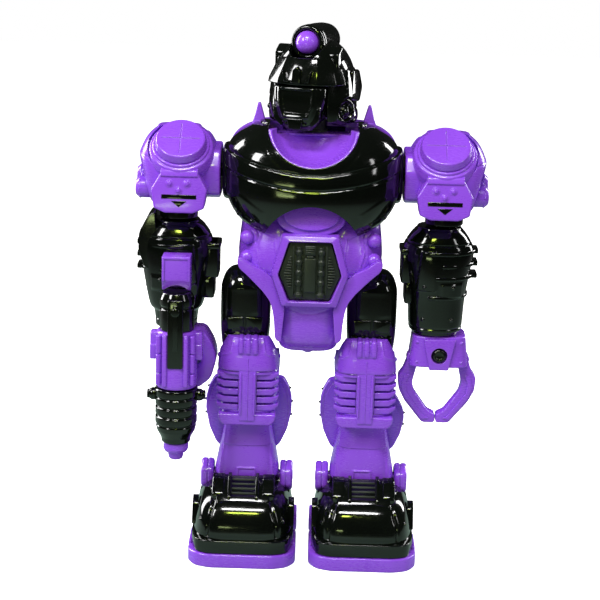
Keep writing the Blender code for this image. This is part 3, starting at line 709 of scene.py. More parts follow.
def belly():
    cad = room("front_shell")
    vent = room("vent_grille")
    base, half, deep = cad.hi.z - 83, 19.5, 29
    pelvis_layers = [(base + z, half * w, deep * d) for z, w, d in BELLY]
    pelvis_layers += [(base + 48, 20.2, 29.6)]
    pelvis = stack("pelvis", pelvis_layers, power=3.6, count=180, rows=110, rounding=2.5)

    def pelvis_lines(x, y, z, normals):
        front = normals[:, 1] < -0.1
        seam = groove(x, 0.5, 1.0) * (z < vent.lo.z - 10)
        step = groove(z - (vent.lo.z - 10 + 0.3 * np.abs(x)), 0.35, 0.5) * (np.abs(x) < 14)
        ridges = 0
        for path in both_sides([(11, vent.lo.z - 1), (14.6, vent.lo.z - 9), (15.2, base + 12),
                                (12, base + 5)]):
            ridges = ridges + groove(line_distance(x, z, path), 0.9, -0.45)
        return (seam + step + ridges) * front

    sculpt(pelvis, pelvis_lines)
    keep_front(pelvis)
    waist_layers = [
        (base + 43.5, 37.5, 29.5), (base + 46, 39.2, 31.2), (base + 52, 40, 31.6), (base + 58, 39.8, 30.4),
        (base + 66, 39, 27.6), (base + 75, 37.6, 24), (base + 82, 34, 21),
    ]
    waist = stack("waist", waist_layers, power=3.0, count=220, rows=120, rounding=0.8)
    top = vent.hi.z

    def waist_lines(x, y, z, normals):
        front = normals[:, 1] < -0.05
        lift = -0.9 * ramp_up(np.hypot(x / 1.5, z - (top + 14)), 13.6, 12.8)
        for outline in both_sides([(20, top + 1), (27.4, top + 4), (29, top - 6), (25.5, top - 20),
                                   (18.5, top - 19)]):
            lift = lift - 0.8 * plate(x, z, outline, 0.5)
        for path in both_sides([(28, top + 5), (30.4, top - 8), (26.6, top - 19)]):
            lift = lift + groove(line_distance(x, z, path), 0.4, 0.6)
        for path in both_sides([(16, top + 2.5), (19.5, top + 9), (24, top + 12)]):
            lift = lift + groove(line_distance(x, z, path), 0.5, 0.5)
        return lift * front

    sculpt(waist, waist_lines)
    keep_front(waist)
    wall = 2.4
    hollow = [(base + 20, 15, 22), (base + 44.5, 17.5, 25)]
    hollow += [(z, hx - wall, hy - wall) for z, hx, hy in waist_layers[1:-1]]
    inner = stack("inside", hollow, power=3.0, rows=0)
    carve(waist, inner)
    carve(pelvis, stack("inside", [(base + 6, 12, 15), (base + 20, 16, 22), (base + 60, 17, 25)], rows=20),
          axle_room(HIP_BORE, "hip_left"))
    opening = vent_outline(vent, 0.4)
    for part in (waist, pelvis):
        carve(part, slab("vent_room", opening, "Y", -60, -20, 0))
    pieces = [waist, pelvis, vent_frame(vent), breast_disc(top + 13, 19, 10.4, 28.6),
              breast_disc(top + 14.6, 15.6, 8.6, 30)]
    pieces += [hip_guard(side, base) for side in SIDES.values()]
    for side in SIDES.values():
        for z in (base + 53, base + 64):
            pieces.append(ball("waist_ball", 4.0, (side * 34.8, -22.4, z)))
            socket = [(0, 1.2), (4.4, 1.2), (5.2, 0), (5.2, -2), (0, -2)]
            pieces.append(turned("socket", socket, (side * 32.6, -20.4, z),
                                 (side * 0.7, -0.7, 0), count=40))
    knob = [(0, 0), (2.2, 0), (2.2, -1.4), (3.2, -2.2), (3.0, -4.6), (1.6, -5.4), (0, -5.4)]
    pieces.append(turned("crotch_knob", knob, (0, -12, cad.lo.z + 5.4), count=40))
    stand_for(pieces, "front_shell")


def breast_disc(z, half_x, half_z, deep):
    """A flat oval that leans out at its lower edge, under the chest's arch."""
    outline = [(half_x * u, z + half_z * v) for u, v in arc_points((0, 0), 1, 0, 352.5, 47)]
    disc = slab("breast_disc", outline, "Y", -deep, -18, 1.2)
    for vertex in disc.data.vertices:
        vertex.co.y += (vertex.co.z / MM - z) * 0.22 * MM
    return smooth(disc)


def vent_outline(vent, margin):
    """The six-sided vent opening, grown by a margin."""
    middle = (vent.lo.z + vent.hi.z) / 2
    corners = [(11, vent.hi.z), (vent.hi.x, middle - 2), (10.8, vent.lo.z)]
    right = []
    for x, z in corners:
        lean = 0.9 if z > middle else -0.9
        right.append((x + margin, z + margin * lean * (abs(z - middle) > 5)))
    return right + across(right, way=-1)[::-1]


def vent_frame(vent):
    """The raised border round the vent, sloping in to the opening."""
    margins = [(4.6, vent.lo.y + 4.2), (3.8, vent.lo.y + 1.4), (3.2, vent.lo.y + 1.0),
               (1.2, vent.lo.y + 0.1), (0.7, vent.lo.y + 0.4), (0.5, vent.lo.y + 6), (4.6, vent.lo.y + 8)]
    rings = []
    for margin, y in margins:
        outline = fill_corners(vent_outline(vent, margin), 1.2, True, 5)
        rings.append([(x, y, z) for x, z in outline])
    return loft("vent_frame", rings, closed=True)


def hip_guard(side, base):
    """The flange that sweeps from the waist in to the crotch, in front of the thigh."""
    outer = [(39.4, base + 54), (39.6, base + 50.6), (38, base + 47.6), (34.4, base + 44.6),
             (30.2, base + 40.4), (25.2, base + 35.4), (21.2, base + 30), (19.6, base + 24),
             (18.8, base + 18), (18.2, base + 9)]
    inner = [(15, base + 7), (13.4, base + 26), (15, base + 35), (19, base + 42.4), (25, base + 47),
             (32, base + 50.2), (36.4, base + 54)]
    outline = across(outer + inner, 0, side)
    guard = slab("hip_guard", outline, "Y", -30.5, -18, 0.9, 2.0)

    def crown(x, y, z, normals):
        return np.where(normals[:, 1] < -0.6, 0.04 * np.maximum(0, 30 - np.abs(x)), 0)

    return sculpt(guard, crown)


def vent():
    cad = room("vent_grille")
    back = cad.hi.y
    face = cad.lo.y + 2.8
    pieces = [slab("vent_plate", vent_outline(cad, 0), "Y", face, back, 0.3)]
    low, high = cad.lo.z, cad.hi.z
    for side in (-1, 1):
        x = side * 6.0
        profile = [(0, high - 2.4), (1.5, high - 2.4)]
        z = high - 4
        while z > low + 6:
            profile += [(1.5, z), (2.1, z - 0.6), (2.1, z - 2.4), (1.5, z - 3.0)]
            z -= 5.6
        profile += [(1.5, low + 4.4), (2.6, low + 3.8), (2.6, low + 1.8), (1.4, low + 1.2), (0, low + 1.2)]
        pieces.append(turned("vent_pipe", profile, (x, face - 0.4, 0), count=36, rounding=0.25))
        pieces.append(block("vent_rail", (side * 8.6, side * 9.4), (face - 1.2, face + 1),
                            (low + 3, high - 2), 0.2))
        z = low + 7.0
        while z < high - 7:
            reach = 14.2 - abs(z - cad.mid.z + 2) * 0.32
            if reach > 10.4:
                pieces.append(block("vent_rib", (side * 9.8, side * reach), (face - 0.9, face + 1),
                                    (z, z + 0.7), 0.15))
            z += 1.5
    pieces.append(block("vent_slab", (-3.3, 3.3), (face - 1.6, face + 1), (low + 4.5, high - 8.6), 0.6))
    pieces.append(block("vent_head", (-3.0, 3.0), (face - 2.2, face + 1), (high - 6.8, high - 1.4), 0.6))
    pieces.append(block("vent_latch", (-1.8, 1.8), (face - 2.0, face + 1), (high - 8.4, high - 7.2), 0.3))
    for z in (high - 5.4, high - 4.2, high - 3.0):
        pieces.append(block("vent_fin", (-2.4, 2.4), (face - 2.7, face), (z, z + 0.5), 0.15))
    stand_for(pieces, "vent_grille")


def back():
    cad = room("back_shell")
    low, top = cad.lo.z, 245.8
    layers = [(low, 9, 13), (low + 5, 15, 20), (low + 12, 17.5, 22), (low + 23, 19.5, 25),
              (low + 41, 20.4, 27)]
    pelvis = stack("pelvis_back", layers, power=2.6, count=140, rows=70, rounding=1.5)
    sculpt(pelvis, lambda x, y, z, n: groove(x, 0.4, 0.6) * (n[:, 1] > 0.2))
    layers = [(low + 43.4, 36, 27), (low + 47, 37.4, 28.5), (low + 57, 38, 30), (low + 73, 40.4, 31.5),
              (low + 99, 47.6, 32), (low + 113, 45, 30), (low + 120, 38, 25), (top, 28, 18)]
    upper = stack("upper_back", layers, power=2.6, count=180, rows=110, rounding=1.2)

    def panels(x, y, z, normals):
        lift = groove(z - (low + 60), 0.4, 0.5) + groove(z - (low + 104 + 0.004 * x**2), 0.45, 0.6)
        for outline in both_sides([(33, low + 66), (42, low + 70), (43, low + 96), (34, low + 98)]):
            lift = lift + 0.5 * plate(x, z, outline, 0.5)
        return lift * (normals[:, 1] > 0.05)

    sculpt(upper, panels)
    for part in (pelvis, upper):
        slice_off(part, (0, SHELL_GAP, 0), (0, -1, 0))
    carve(pelvis, stack("inside", [(low + 6, 11, 14), (low + 20, 16, 21), (low + 60, 17, 24)], rows=20),
          axle_room(HIP_BORE, "hip_left"),
          block("switch_slot", (-5.4, 5.4), (20, 40), (low + 29.6, low + 35.4), 0))
    carve(upper, stack("inside", [(low + 46, 34, 25), (low + 60, 38, 27), (low + 99, 44.6, 29),
                                  (low + 117, 36, 23), (low + 121, 28, 17)], rows=30))
    carve(upper, axle_room(SHOULDER_BORE, "shoulder_swing_left"),
          rod("neck_room", 7.2, (0, 0, 230), (0, 0, 270), count=48, rounding=0))
    door = room("battery_door")
    pack = block("pack", (-30, 30), (20, cad.hi.y), (low + 48, low + 117), 2.2)
    tray = room("battery_tray")
    hole = ((tray.lo.x - 0.4, tray.hi.x + 0.4), (10, 60), (tray.lo.z - 0.4, tray.hi.z + 0.4), 0)
    carve(pack, block("tray_room", *hole))
    carve(upper, block("tray_room", *hole))
    switch_frame = block("switch_frame", (-8, 8), (24.6, 26.8), (low + 27.4, low + 37.6), 0.6)
    carve(switch_frame, block("switch_slot", (-5.4, 5.4), (20, 40), (low + 29.6, low + 35.4), 0))
    pieces = [pelvis, upper, pack, switch_frame]
    for side in SIDES.values():
        for z in range(5):
            level = door.lo.z + 10 + z * 11
            pieces.append(block("pack_rib", (side * 29, side * 31), (25, 40), (level, level + 4), 0.8))
        tip = [(17, 240), (36, 240), (33, 248), (31.2, 255.6), (29.7, 255.6), (27.2, 247),
               (26.9, 245.8), (17, 245.8)]
        pieces.append(slab("collar_tip", across(tip, 0, side), "Y", 0.6, 5, 0.6))
        pieces.append(screw_head("screw", (side * 14, 27.2, low + 36), (0, 1, 0), 2.4))
        pieces.append(screw_head("screw", (side * 38, 26.4, low + 112), (side * 0.3, 1, 0), 2.4))
    stand_for(pieces, "back_shell")


def door():
    cad = room("battery_door")
    face = cad.hi.y
    pieces = [block("door", (cad.lo.x, cad.hi.x), (cad.lo.y, face - 0.6), (cad.lo.z, cad.hi.z), 0.8)]
    frame_outline = [(-24, cad.lo.z + 12), (24, cad.lo.z + 12), (24, cad.hi.z - 6), (-24, cad.hi.z - 6)]
    pieces.append(slab("door_panel", frame_outline, "Y", face - 1.5, face - 0.1, 0.4, 3))
    for index in range(6):
        z = cad.lo.z + 20 + index * 6.5
        carve(pieces[1], block("rib", (-19, 19), (face - 0.8, face + 2), (z, z + 2.2), 0.4))
    grip = slab("grip", arc_points((0, cad.hi.z - 1.5), 5, 180, 360, 20), "Y", face - 1.2, face - 0.1, 0.2)
    pieces.append(grip)
    carve(pieces[0], rod("screw_well", 3.4, (0, face - 1.6, cad.lo.z + 4.6), (0, face + 2, cad.lo.z + 4.6),
                         count=40, rounding=0))
    stand_for(pieces, "battery_door")
    screw = screw_head("screw", (0, face - 1.9, cad.lo.z + 4.6), (0, 1, 0), 2.2)
    stand_for(screw, "battery_door", "steel")


def switch():
    cad = room("power_switch")
    knob = block("knob", (-2.5, 2.5), (cad.lo.y + 1, cad.hi.y), (cad.mid.z - 2.3, cad.mid.z + 2.3), 0.4)
    pieces = [knob, block("slider", (cad.lo.x, cad.hi.x), (cad.lo.y, cad.lo.y + 2.2),
                          (cad.lo.z, cad.hi.z), 0.3)]
    for x in (-1.5, 0, 1.5):
        cutter = block("notch", (x - 0.3, x + 0.3), (cad.hi.y - 0.5, cad.hi.y + 2),
                       (cad.lo.z - 1, cad.hi.z + 1), 0)
        carve(knob, cutter)
    stand_for(pieces, "power_switch")


# ---------------------------------------------------------------- head

HEAD_LAYERS = [(0, 21.5, 22), (8, 23, 23), (20, 22.3, 22.5), (30, 20, 21), (38, 15, 17.5), (44, 7.5, 10)]
HEAD_Y = -2.5
HEAD_BASE = room("helmet").lo.z


def turn_head(pieces):
    """Turns pieces built facing forwards to where the toy looks."""
    for piece in pieces:
        turn_about(piece, HEAD_TURN, joint_place("head_turn"))
    return pieces


def head_layers(growth=0.0, low=0, high=6):
    """Some of the head's sections, grown or shrunk all round."""
    return [(HEAD_BASE + z, hx + growth, hy + growth) for z, hx, hy in HEAD_LAYERS[low:high]]


def crest_level():
    return room("crest_barrel").mid.z


def helmet():
    shell = stack("helmet", head_layers(), (0, HEAD_Y), power=2.4, count=200, rows=130, rounding=1.5)
    brim = HEAD_BASE + 20

    def ridges(x, y, z, normals):
        back_band = groove(z - (HEAD_BASE + 7 - 0.1 * y), 0.5, 0.6) * (y > -14)
        crown = ramp_up(np.abs(x), 6.4, 5.6) * ramp_up(z, brim + 4, brim + 8) * 0.7
        temple = [(-12, HEAD_BASE + 12), (10, HEAD_BASE + 12), (8, brim + 8), (-8, brim + 8)]
        side_panel = plate(y, z, temple, 0.5) * (np.abs(x) > 12) * 0.6
        flare = 2.0 * ramp_up(z, HEAD_BASE + 9, HEAD_BASE + 1) * ramp_up(y, -8, 2)
        return back_band + crown + side_panel + flare

    sculpt(shell, ridges)
    carve(shell, stack("inside", [(HEAD_BASE - 8, 18.5, 19)] + head_layers(-2.6, 1, 5), (0, HEAD_Y),
                       power=2.4, rows=40))
    carve(shell, block("face_room", (-15.4, 15.4), (-60, -9), (HEAD_BASE - 20, brim), 0))
    crest = crest_level()
    carve(shell, rod("crest_room", 9.8, (0, -40, crest), (0, 20, crest), count=64, rounding=0))
    pieces = [shell]
    for side in SIDES.values():
        carve(shell, rod("ear_room", 7.4, (side * 19, -8, 255), (side * 40, -8, 255), count=48, rounding=0))
        lug = [(-15, 276), (-6, 275), (-4, 286), (-9, 289), (-15, 285)]
        pieces.append(slab("lug", lug, "X", side * 11.5, side * 18.4, 1.1, 1.2))
        fin = [(-6, 260), (8, 258), (12, 266), (6, 276), (-4, 276)]
        pieces.append(slab("temple", fin, "X", side * 19.5, side * 23.4, 1.0, 2))
        pieces.append(ball("lug_bolt", 1.5, (side * 15, -15, 281)))
    pieces.append(block("nape", (-9, 9), (19, 22.6), (252, 262), 1.0))
    stand_for(turn_head(pieces), "helmet")


def visor():
    """The faceted forehead guard: a sloping band with a brow over each eye and a small crest between them."""
    brim = HEAD_BASE + 20.4
    rings = []
    for z, growth in ((brim, 2.6), (brim + 0.6, 3.0), (brim + 3.0, 3.1), (brim + 13.6, 0.9),
                      (brim + 14, 0.3)):
        half_x = np.interp(z, [268, 278, 286], [22.3, 20, 15]) + 0.3 * growth
        half_y = np.interp(z, [268, 278, 286], [22.5, 21, 17.5]) + growth
        front = [(-0.97, 0.4), (-0.86, 0.7), (-0.5, 0.97), (0, 1.06), (0.5, 0.97), (0.86, 0.7), (0.97, 0.4)]
        ring = [(u * half_x, HEAD_Y - v * half_y, z) for u, v in front]
        inner = [(u * (half_x - 2), HEAD_Y - v * (half_y - growth - 0.2), z) for u, v in reversed(front)]
        rings.append(ring + inner)
    pieces = [round_edges(loft("visor", rings), 0.35, sharper_than=25)]
    for side in SIDES.values():
        pieces.append(slab("brow", [(side * 4.4, brim + 1.4), (side * 7, brim + 1.4),
                                    (side * 8.4, brim + 8)], "Y", -29.2, -18, 0.5))
    crest = [(-2.6, brim + 1), (2.6, brim + 1), (2.0, brim + 8), (0, brim + 10), (-2.0, brim + 8)]
    pieces.append(slab("brow_crest", crest, "Y", -29.6, -20, 0.7, 0.5))
    stand_for(turn_head(pieces), "visor")


def mask():
    layers = [(244.5, 6.4, 4.6), (247, 9.6, 6.6), (251, 12.2, 8.0), (257, 14.0, 8.6), (262, 14.8, 8.8),
              (267.8, 14.8, 8.6)]
    face = stack("mask", layers, (0, -21), power=3.0, count=150, rows=110, rounding=0.8)

    def features(x, y, z, normals):
        front = normals[:, 1] < -0.15
        window = plate(x, z, [(-8.6, 266.6), (8.6, 266.6), (8.2, 258), (6.4, 253.4), (-6.4, 253.4),
                              (-8.2, 258)], 0.5)
        rim = groove(line_distance(x, z, [(-9.6, 267), (-9.2, 257.5), (-7, 252), (7, 252), (9.2, 257.5),
                                          (9.6, 267)]), 0.7, -0.5)
        slots = 0
        for side in (-1, 1):
            slots = slots + groove(line_distance(x, z, [(side * 3, 249.6), (side * 5.5, 248.6)]), 0.5, 0.7)
        return (rim - 1.3 * window + slots) * front

    sculpt(face, features)
    pieces = [face]
    chin = [(-4.6, 251), (4.6, 251), (3.2, 245.6), (-3.2, 245.6)]
    pieces.append(slab("chin", chin, "Y", -29.6, -22, 0.7, 0.6))
    for side in SIDES.values():
        jaw = [(side * 7, 253), (side * 13.5, 258), (side * 13, 250.5), (side * 8.5, 246.6)]
        pieces.append(slab("jaw", jaw, "Y", -27.4, -18, 0.8, 0.6))
    stand_for(turn_head(pieces), "face_mask")


def crest():
    level = crest_level()
    profile = [(0, 20), (3.4, 19.8), (6.6, 17.6), (8.6, 13.6), (9.3, 8), (9.5, 0), (9.4, -8), (9.5, -8.4),
               (9.5, -10), (9.4, -10.4), (9.4, -13.4), (8.6, -14.6), (7.0, -14.6), (6.7, -11), (0, -11)]
    barrel = turned("barrel", profile, (0, 0, level), (0, 1, 0), count=96, rounding=0.6)
    stand_for(turn_head([barrel]), "crest_barrel")


def lamp():
    level = crest_level()
    profile = [(0, -11.4), (6.2, -11.4), (6.2, -14)]
    profile += [(6.2 * math.cos(math.radians(a)), -14 - 6.2 * math.sin(math.radians(a)))
                for a in range(8, 90, 8)]
    profile += [(0, -20.2)]
    dome = turned("lamp", profile, (0, 0, level), (0, 1, 0), count=64, rounding=0)
    stand_for(turn_head([dome]), "forehead_lamp")


def ear(side_name):
    side = SIDES[side_name]
    lean = math.radians(26)
    outward = Vector((side * math.cos(lean), -math.sin(lean), 0))
    forward = Vector((-side * math.sin(lean), -math.cos(lean), 0))
    seat = Vector((side * 17.4, -8.6, 254.6))
    profile = [(0, 5.4), (2.4, 5.4), (3.0, 4.6), (4.6, 4.4), (5.2, 5.6), (6.4, 5.4), (7.8, 3.4), (8.2, 1),
               (8.2, -2), (0, -2)]
    pieces = [turned("pod", profile, seat, outward, count=72, rounding=0.5),
              ball("bolt", 1.6, seat + 5.2 * outward)]
    for i in range(6):
        angle = math.pi / 3 * i
        spoke = math.cos(angle) * forward + math.sin(angle) * Vector((0, 0, 1))
        place = seat + 5.4 * outward + 3.8 * spoke
        pieces.append(ball("stud", 0.5, place, 12))
    stand_for(turn_head(pieces), f"ear_pod_{side_name}")


# ---------------------------------------------------------------- shoulders

POD_LAYERS = [(197, 12, 13), (202, 15.4, 18), (208, 17, 22), (218, 19.4, 23), (226, 21.2, 22),
              (230, 20.6, 20.5), (237, 16.8, 15.5), (242.4, 10.5, 9)]
CAP_AXIS = Vector((0, -0.66, 0.75)).normalized()
BOSS = 25.4
CAP_DROP = 3.0
CAP_INWARD = 2.2
SHIELD_BEND = 218
SHIELD_SLOPE = 0.14


def cap_seat(side_name):
    """The centre that the boss and its cap are turned about: a little inboard of the shoulder, and lower."""
    return joint_place(f"shoulder_swing_{side_name}") - Vector((SIDES[side_name] * CAP_INWARD, 0, CAP_DROP))


def pod(side_name):
    side = SIDES[side_name]
    hinge = joint_place(f"shoulder_swing_{side_name}")
    shell = stack("pod", POD_LAYERS, (hinge.x, 0), power=3.3, count=180, rows=110, rounding=1.2)

    def panels(x, y, z, normals):
        u = (x - hinge.x) * side
        flank = plate(y, z, [(-15, 206), (13, 206), (17, 222), (12, 238), (-8, 238), (-18, 222)], 0.5)
        lift = 0.6 * flank * (u < -14)
        lift = lift + groove(line_distance(y, z, [(-22, 226), (0, 232), (22, 226)]), 0.5, 0.6) * (u > 6)
        rear = plate(x - hinge.x, z, [(-13, 206), (13, 206), (13, 232), (-13, 232)], 0.5)
        return lift + 0.5 * rear * (normals[:, 1] > 0.3) + groove(z - 203.5, 0.5, 0.5)

    sculpt(shell, panels)
    seat = cap_seat(side_name)
    carve(shell, rod("cap_room", 18.4, seat + (BOSS - 5) * CAP_AXIS, seat + 60 * CAP_AXIS,
                     count=72, rounding=0))
    carve(shell, axle_room(SHOULDER_BORE, "shoulder_swing_left", side * 40, side * 62.6))
    carve(shell, rod("arm_room", 11.2, (hinge.x, 0, 190), (hinge.x, 0, 203.4), count=48, rounding=0))
    carve(shell, block("booster_room", (side * 92, side * 110), (-14, 14), (199, 222), 0))
    profile = [(0, BOSS), (15.2, BOSS), (15.6, BOSS - 0.8), (15.6, BOSS - 1.4), (16.8, BOSS - 1.6),
               (17.4, BOSS - 2.4), (18.3, BOSS - 6), (18.3, BOSS - 10), (0, BOSS - 10)]
    boss = turned("boss", profile, seat, CAP_AXIS, count=96, rounding=0.4)
    flank = [(-17, 207), (-19, 222), (-14, 231), (8, 233), (18, 226), (15, 207), (4, 203.6), (-8, 203.6)]
    panel = slab("flank", flank, "X", side * 50.4, side * 60, 1.2, 2)
    carve(panel, rod("disc_room", 12.6, (side * 40, 0, hinge.z), (side * 52.8, 0, hinge.z),
                     count=64, rounding=0))
    carve(panel, axle_room(SHOULDER_BORE, "shoulder_swing_left", side * 40, side * 70))
    pieces = [shell, boss, panel]
    pieces += face_plate(seat.x)
    stand_for(pieces, f"shoulder_pod_{side_name}")
    mark = chevron(seat.x)
    stand_for(mark, f"shoulder_pod_{side_name}", "black_plastic")


def lean_out(obj):
    """Leans what lies below the shield's bend out to the front."""
    for vertex in obj.data.vertices:
        vertex.co.y -= max(0.0, SHIELD_BEND - vertex.co.z / MM) * SHIELD_SLOPE * MM
    return obj


def face_plate(middle):
    """The six-sided shield that leans out in front of the shoulder, with a ledge and three rivets."""
    shield = [(-9.4, 221), (9.4, 221), (15.2, 211), (13.6, 201), (7.6, 198.4), (-7.6, 198.4),
              (-13.6, 201), (-15.2, 211)]
    face = slab("shield", across(shield, middle), "Y", -27.4, -14, 1.3, 0.8, 4)
    smooth(lean_out(face))
    ledge = [(-24, 223), (-27.8, 221.4), (-28.6, 218.4), (-26.6, 217.2), (-15, 217)]
    pieces = [face, slab("ledge", ledge, "X", middle - 10, middle + 10, 0.6, 0.6)]
    for x, z in ((-5.2, 214.4), (4.2, 214.4), (-0.4, 210.8)):
        pieces.append(rivet("rivet", face, middle + x, z, 2.0))
    return pieces


def chevron(middle):
    """A plain bar over a downward chevron, set just proud of the shield."""
    bar = [(-9.4, 208.4), (9.4, 208.4), (9.4, 206.2), (-9.4, 206.2)]
    point = [(-4.2, 205.0), (4.2, 205.0), (0, 201.8)]
    pieces = []
    for name, outline in (("bar", bar), ("chevron", point)):
        mark = slab(name, across(outline, middle), "Y", -27.7, -26, 0.12)
        pieces.append(lean_out(mark))
    return pieces


def cap(side_name):
    seat = cap_seat(side_name)
    low = BOSS + 0.4
    profile = [(0, low + 4.8), (12.7, low + 4.8), (13.3, low + 4.4), (14.2, low + 0.8),
               (14.2, low), (0, low)]
    disc = turned("cap", profile, seat, CAP_AXIS, count=110, rounding=0.4)
    direction = Vector((0, 0, 1)).rotation_difference(CAP_AXIS).to_matrix().to_4x4()
    for half in ((10.4, 0.22), (0.22, 10.4)):
        line = block("scribe", (-half[0], half[0]), (-half[1], half[1]), (low + 4.5, low + 6), 0)
        line.data.transform(Matrix.Translation(seat * MM) @ direction)
        carve(disc, line)
    stand_for(disc, f"shoulder_cap_{side_name}")


def booster(side_name):
    side = SIDES[side_name]
    pieces = []
    for y, z in ((-5, 208), (3, 213.5)):
        profile = [(0, 3.6), (2.2, 3.6), (2.8, 5), (4.2, 5), (6, 3), (6, -7), (0, -7)]
        pieces.append(turned("lobe", profile, (side * 92.4, y, z), (side, 0, 0), count=56, rounding=0.5))
        for i in range(8):
            angle = math.pi / 4 * i
            place = (side * 95, y + 5.9 * math.cos(angle), z + 5.9 * math.sin(angle))
            pieces.append(ball("stud", 0.55, place, 10))
    pieces.append(block("bridge", (side * 91.4, side * 94.6), (-6, 4), (206, 216), 1.0))
    stand_for(pieces, f"shoulder_booster_{side_name}")


def axle(side_name):
    side = SIDES[side_name]
    z = joint_place(f"shoulder_swing_{side_name}").z
    profile = [(0, 62), (4.2, 62), (4.2, 52.2), (11.4, 52.2), (12, 51.6), (12, 50.6), (11.4, 50.2),
               (4.2, 50.2), (4.2, 44), (7, 44), (7, 42), (0, 42)]
    stand_for(turned("axle", profile, (0, 0, z), (side, 0, 0), count=80, rounding=0.3),
              f"shoulder_axle_{side_name}")


def upper_arm(side_name):
    cad = room(f"upper_arm_{side_name}")
    high = cad.hi.z
    profile = [(0, high), (10.4, high), (10.6, high - 6), (10.2, high - 6.4), (10.2, high - 7.4),
               (10.6, high - 7.8), (10.6, high - 11.6), (9.6, high - 12.4), (7.6, high - 12.6),
               (7.6, cad.lo.z), (0, cad.lo.z)]
    stand_for(turned("arm", profile, (cad.mid.x, 0, 0), count=72), f"upper_arm_{side_name}")


# ---------------------------------------------------------------- forearms

GAUNTLET_LAYERS = {
    "right": [(129, 11.6, 11.6), (138, 12.6, 13), (143, 15.4, 15.4), (163, 19, 18), (178, 20, 17.5),
              (186, 16, 15), (190, 11.6, 11.6)],
    "left": [(129, 13, 13), (131.4, 13.4, 13.6), (132.6, 15, 15), (149, 16, 16.5), (164, 18, 18),
             (177, 19.8, 17.5), (185, 16, 15), (190, 11.6, 11.6)],
}
GAUNTLET_SHIFT = {"right": 0.8, "left": -2.4}


def half_ring(middle, side, z, inner, outer, reach):
    """A flange that wraps from the front round the outer side of a forearm."""
    angles = np.radians(np.linspace(*reach, 40))
    edges = [[(half[0] * math.sin(a), -half[1] * math.cos(a)) for a in angles] for half in (outer, inner)]
    return slab("flange", across(edges[0] + edges[1][::-1], middle, side), "Z", z - 1.1, z + 1.1, 0.5)


def gauntlet(side_name):
    side = SIDES[side_name]
    cad = room(f"gauntlet_{side_name}")
    elbow = joint_place(f"arm_turn_{side_name}").x
    middle = elbow + side * GAUNTLET_SHIFT[side_name]
    arm = stack("gauntlet", GAUNTLET_LAYERS[side_name], (middle, 0), power=2.4, count=180,
                rows=170, rounding=0.8)

    def bands(x, y, z, normals):
        u = (x - middle) * side
        lift = groove(z - 181.5, 0.4, 0.7) + groove(z - 133.4, 0.35, 0.4)
        facing = normals[:, 1] < -0.3
        front = plate(u, z, [(-12, 156), (-1.5, 156), (-1.5, 178), (-10, 178)], 0.4) * facing
        outer_front = plate(u, z, [(1.5, 152), (13, 152), (13, 160), (1.5, 160)], 0.4) * facing
        rear = plate(x - middle, z, [(-8, 158), (8, 158), (8, 178), (-8, 178)], 0.5) * (normals[:, 1] > 0.3)
        return lift + 0.7 * front + 0.6 * outer_front + 0.5 * rear

    sculpt(arm, bands)
    carve(arm, rod("arm_room", 8, (elbow, 0, 181.5), (elbow, 0, 200), count=48, rounding=0))
    pieces = [arm]
    if side_name == "right":
        elbow_guard = [(-86, 196), (-90.6, 192.4), (-95, 184), (-95.4, 174), (-92, 164), (-84, 160)]
        pieces.append(slab("elbow_guard", elbow_guard, "Y", -13, 12, 4.2, 2, 6))
    inner = cad.lo.x if side > 0 else cad.hi.x
    pieces.append(block("inner_box", (inner, side * 62), (-9, 9), (158, 178), 1.4))
    pieces.append(block("inner_lid", (inner - side * 0.8, side * 60), (-10, 8), (174.6, 178), 0.8))
    pieces.append(block("inner_sill", (inner + side * 2.4, side * 60), (-8, 8), (146, 158.6), 1.4))
    for z in (162, 166.5, 171):
        pieces.append(block("inner_rib", (inner - side * 0.5, side * 60), (-8, -4),
                            (z - 0.9, z + 0.9), 0.4))
    for index, z in enumerate((163, 170, 177)):
        width = np.interp(z, [150, 163, 178], [17, 18.4, 19.6]) + 1.8
        reach = (4, 118) if index % 2 else (-30, 130)
        pieces.append(half_ring(middle, side, z, (width - 5, 14), (width, 18.6), reach))
        pieces.append(block("fin", (side * 82, middle + side * 22), (-5, 5), (z - 1.5, z + 1.5), 0.6))
    pieces.append(half_ring(middle, side, 152, (13, 13), (17.4, 17.9), (-20, 120)))
    for z in (139, 158):
        pieces.append(rivet("rivet", arm, middle + side * 8, z, 1.1))
        pieces.append(rivet("rivet", arm, middle - side * 8, z, 1.1))
    stand_for(pieces, f"gauntlet_{side_name}")


def hand():
    cad = room("hand_right")
    outline = [(-80, 128.4), (-58, 128.4), (-53, 120), (-51, 112), (-54, 101), (-61, 95), (-66, 97),
               (-66, 104), (-59, 110), (-62, 118), (-80, 121)]
    pieces = [slab("hand", outline, "Y", cad.lo.y + 6, cad.hi.y, 1.4, 3)]
    pieces.append(block("grip", (-80, -66), (cad.lo.y, cad.hi.y - 2), (104, 124), 1.4))
    for index in range(4):
        z = 122 - index * 5
        pieces.append(rod("knuckle", 2.6, (-79, cad.lo.y + 2.4, z), (-64.5, cad.lo.y + 2.4, z),
                          count=32, rounding=1.0))
    stand_for(pieces, "hand_right")


def blaster_part(node):
    """A blaster piece's CAD box, the X and Y of the blaster's own axis, and the piece's top and bottom."""
    cad, tip = room(node), room("blaster_tip")
    return cad, tip.mid.x, tip.mid.y, cad.hi.z, cad.lo.z


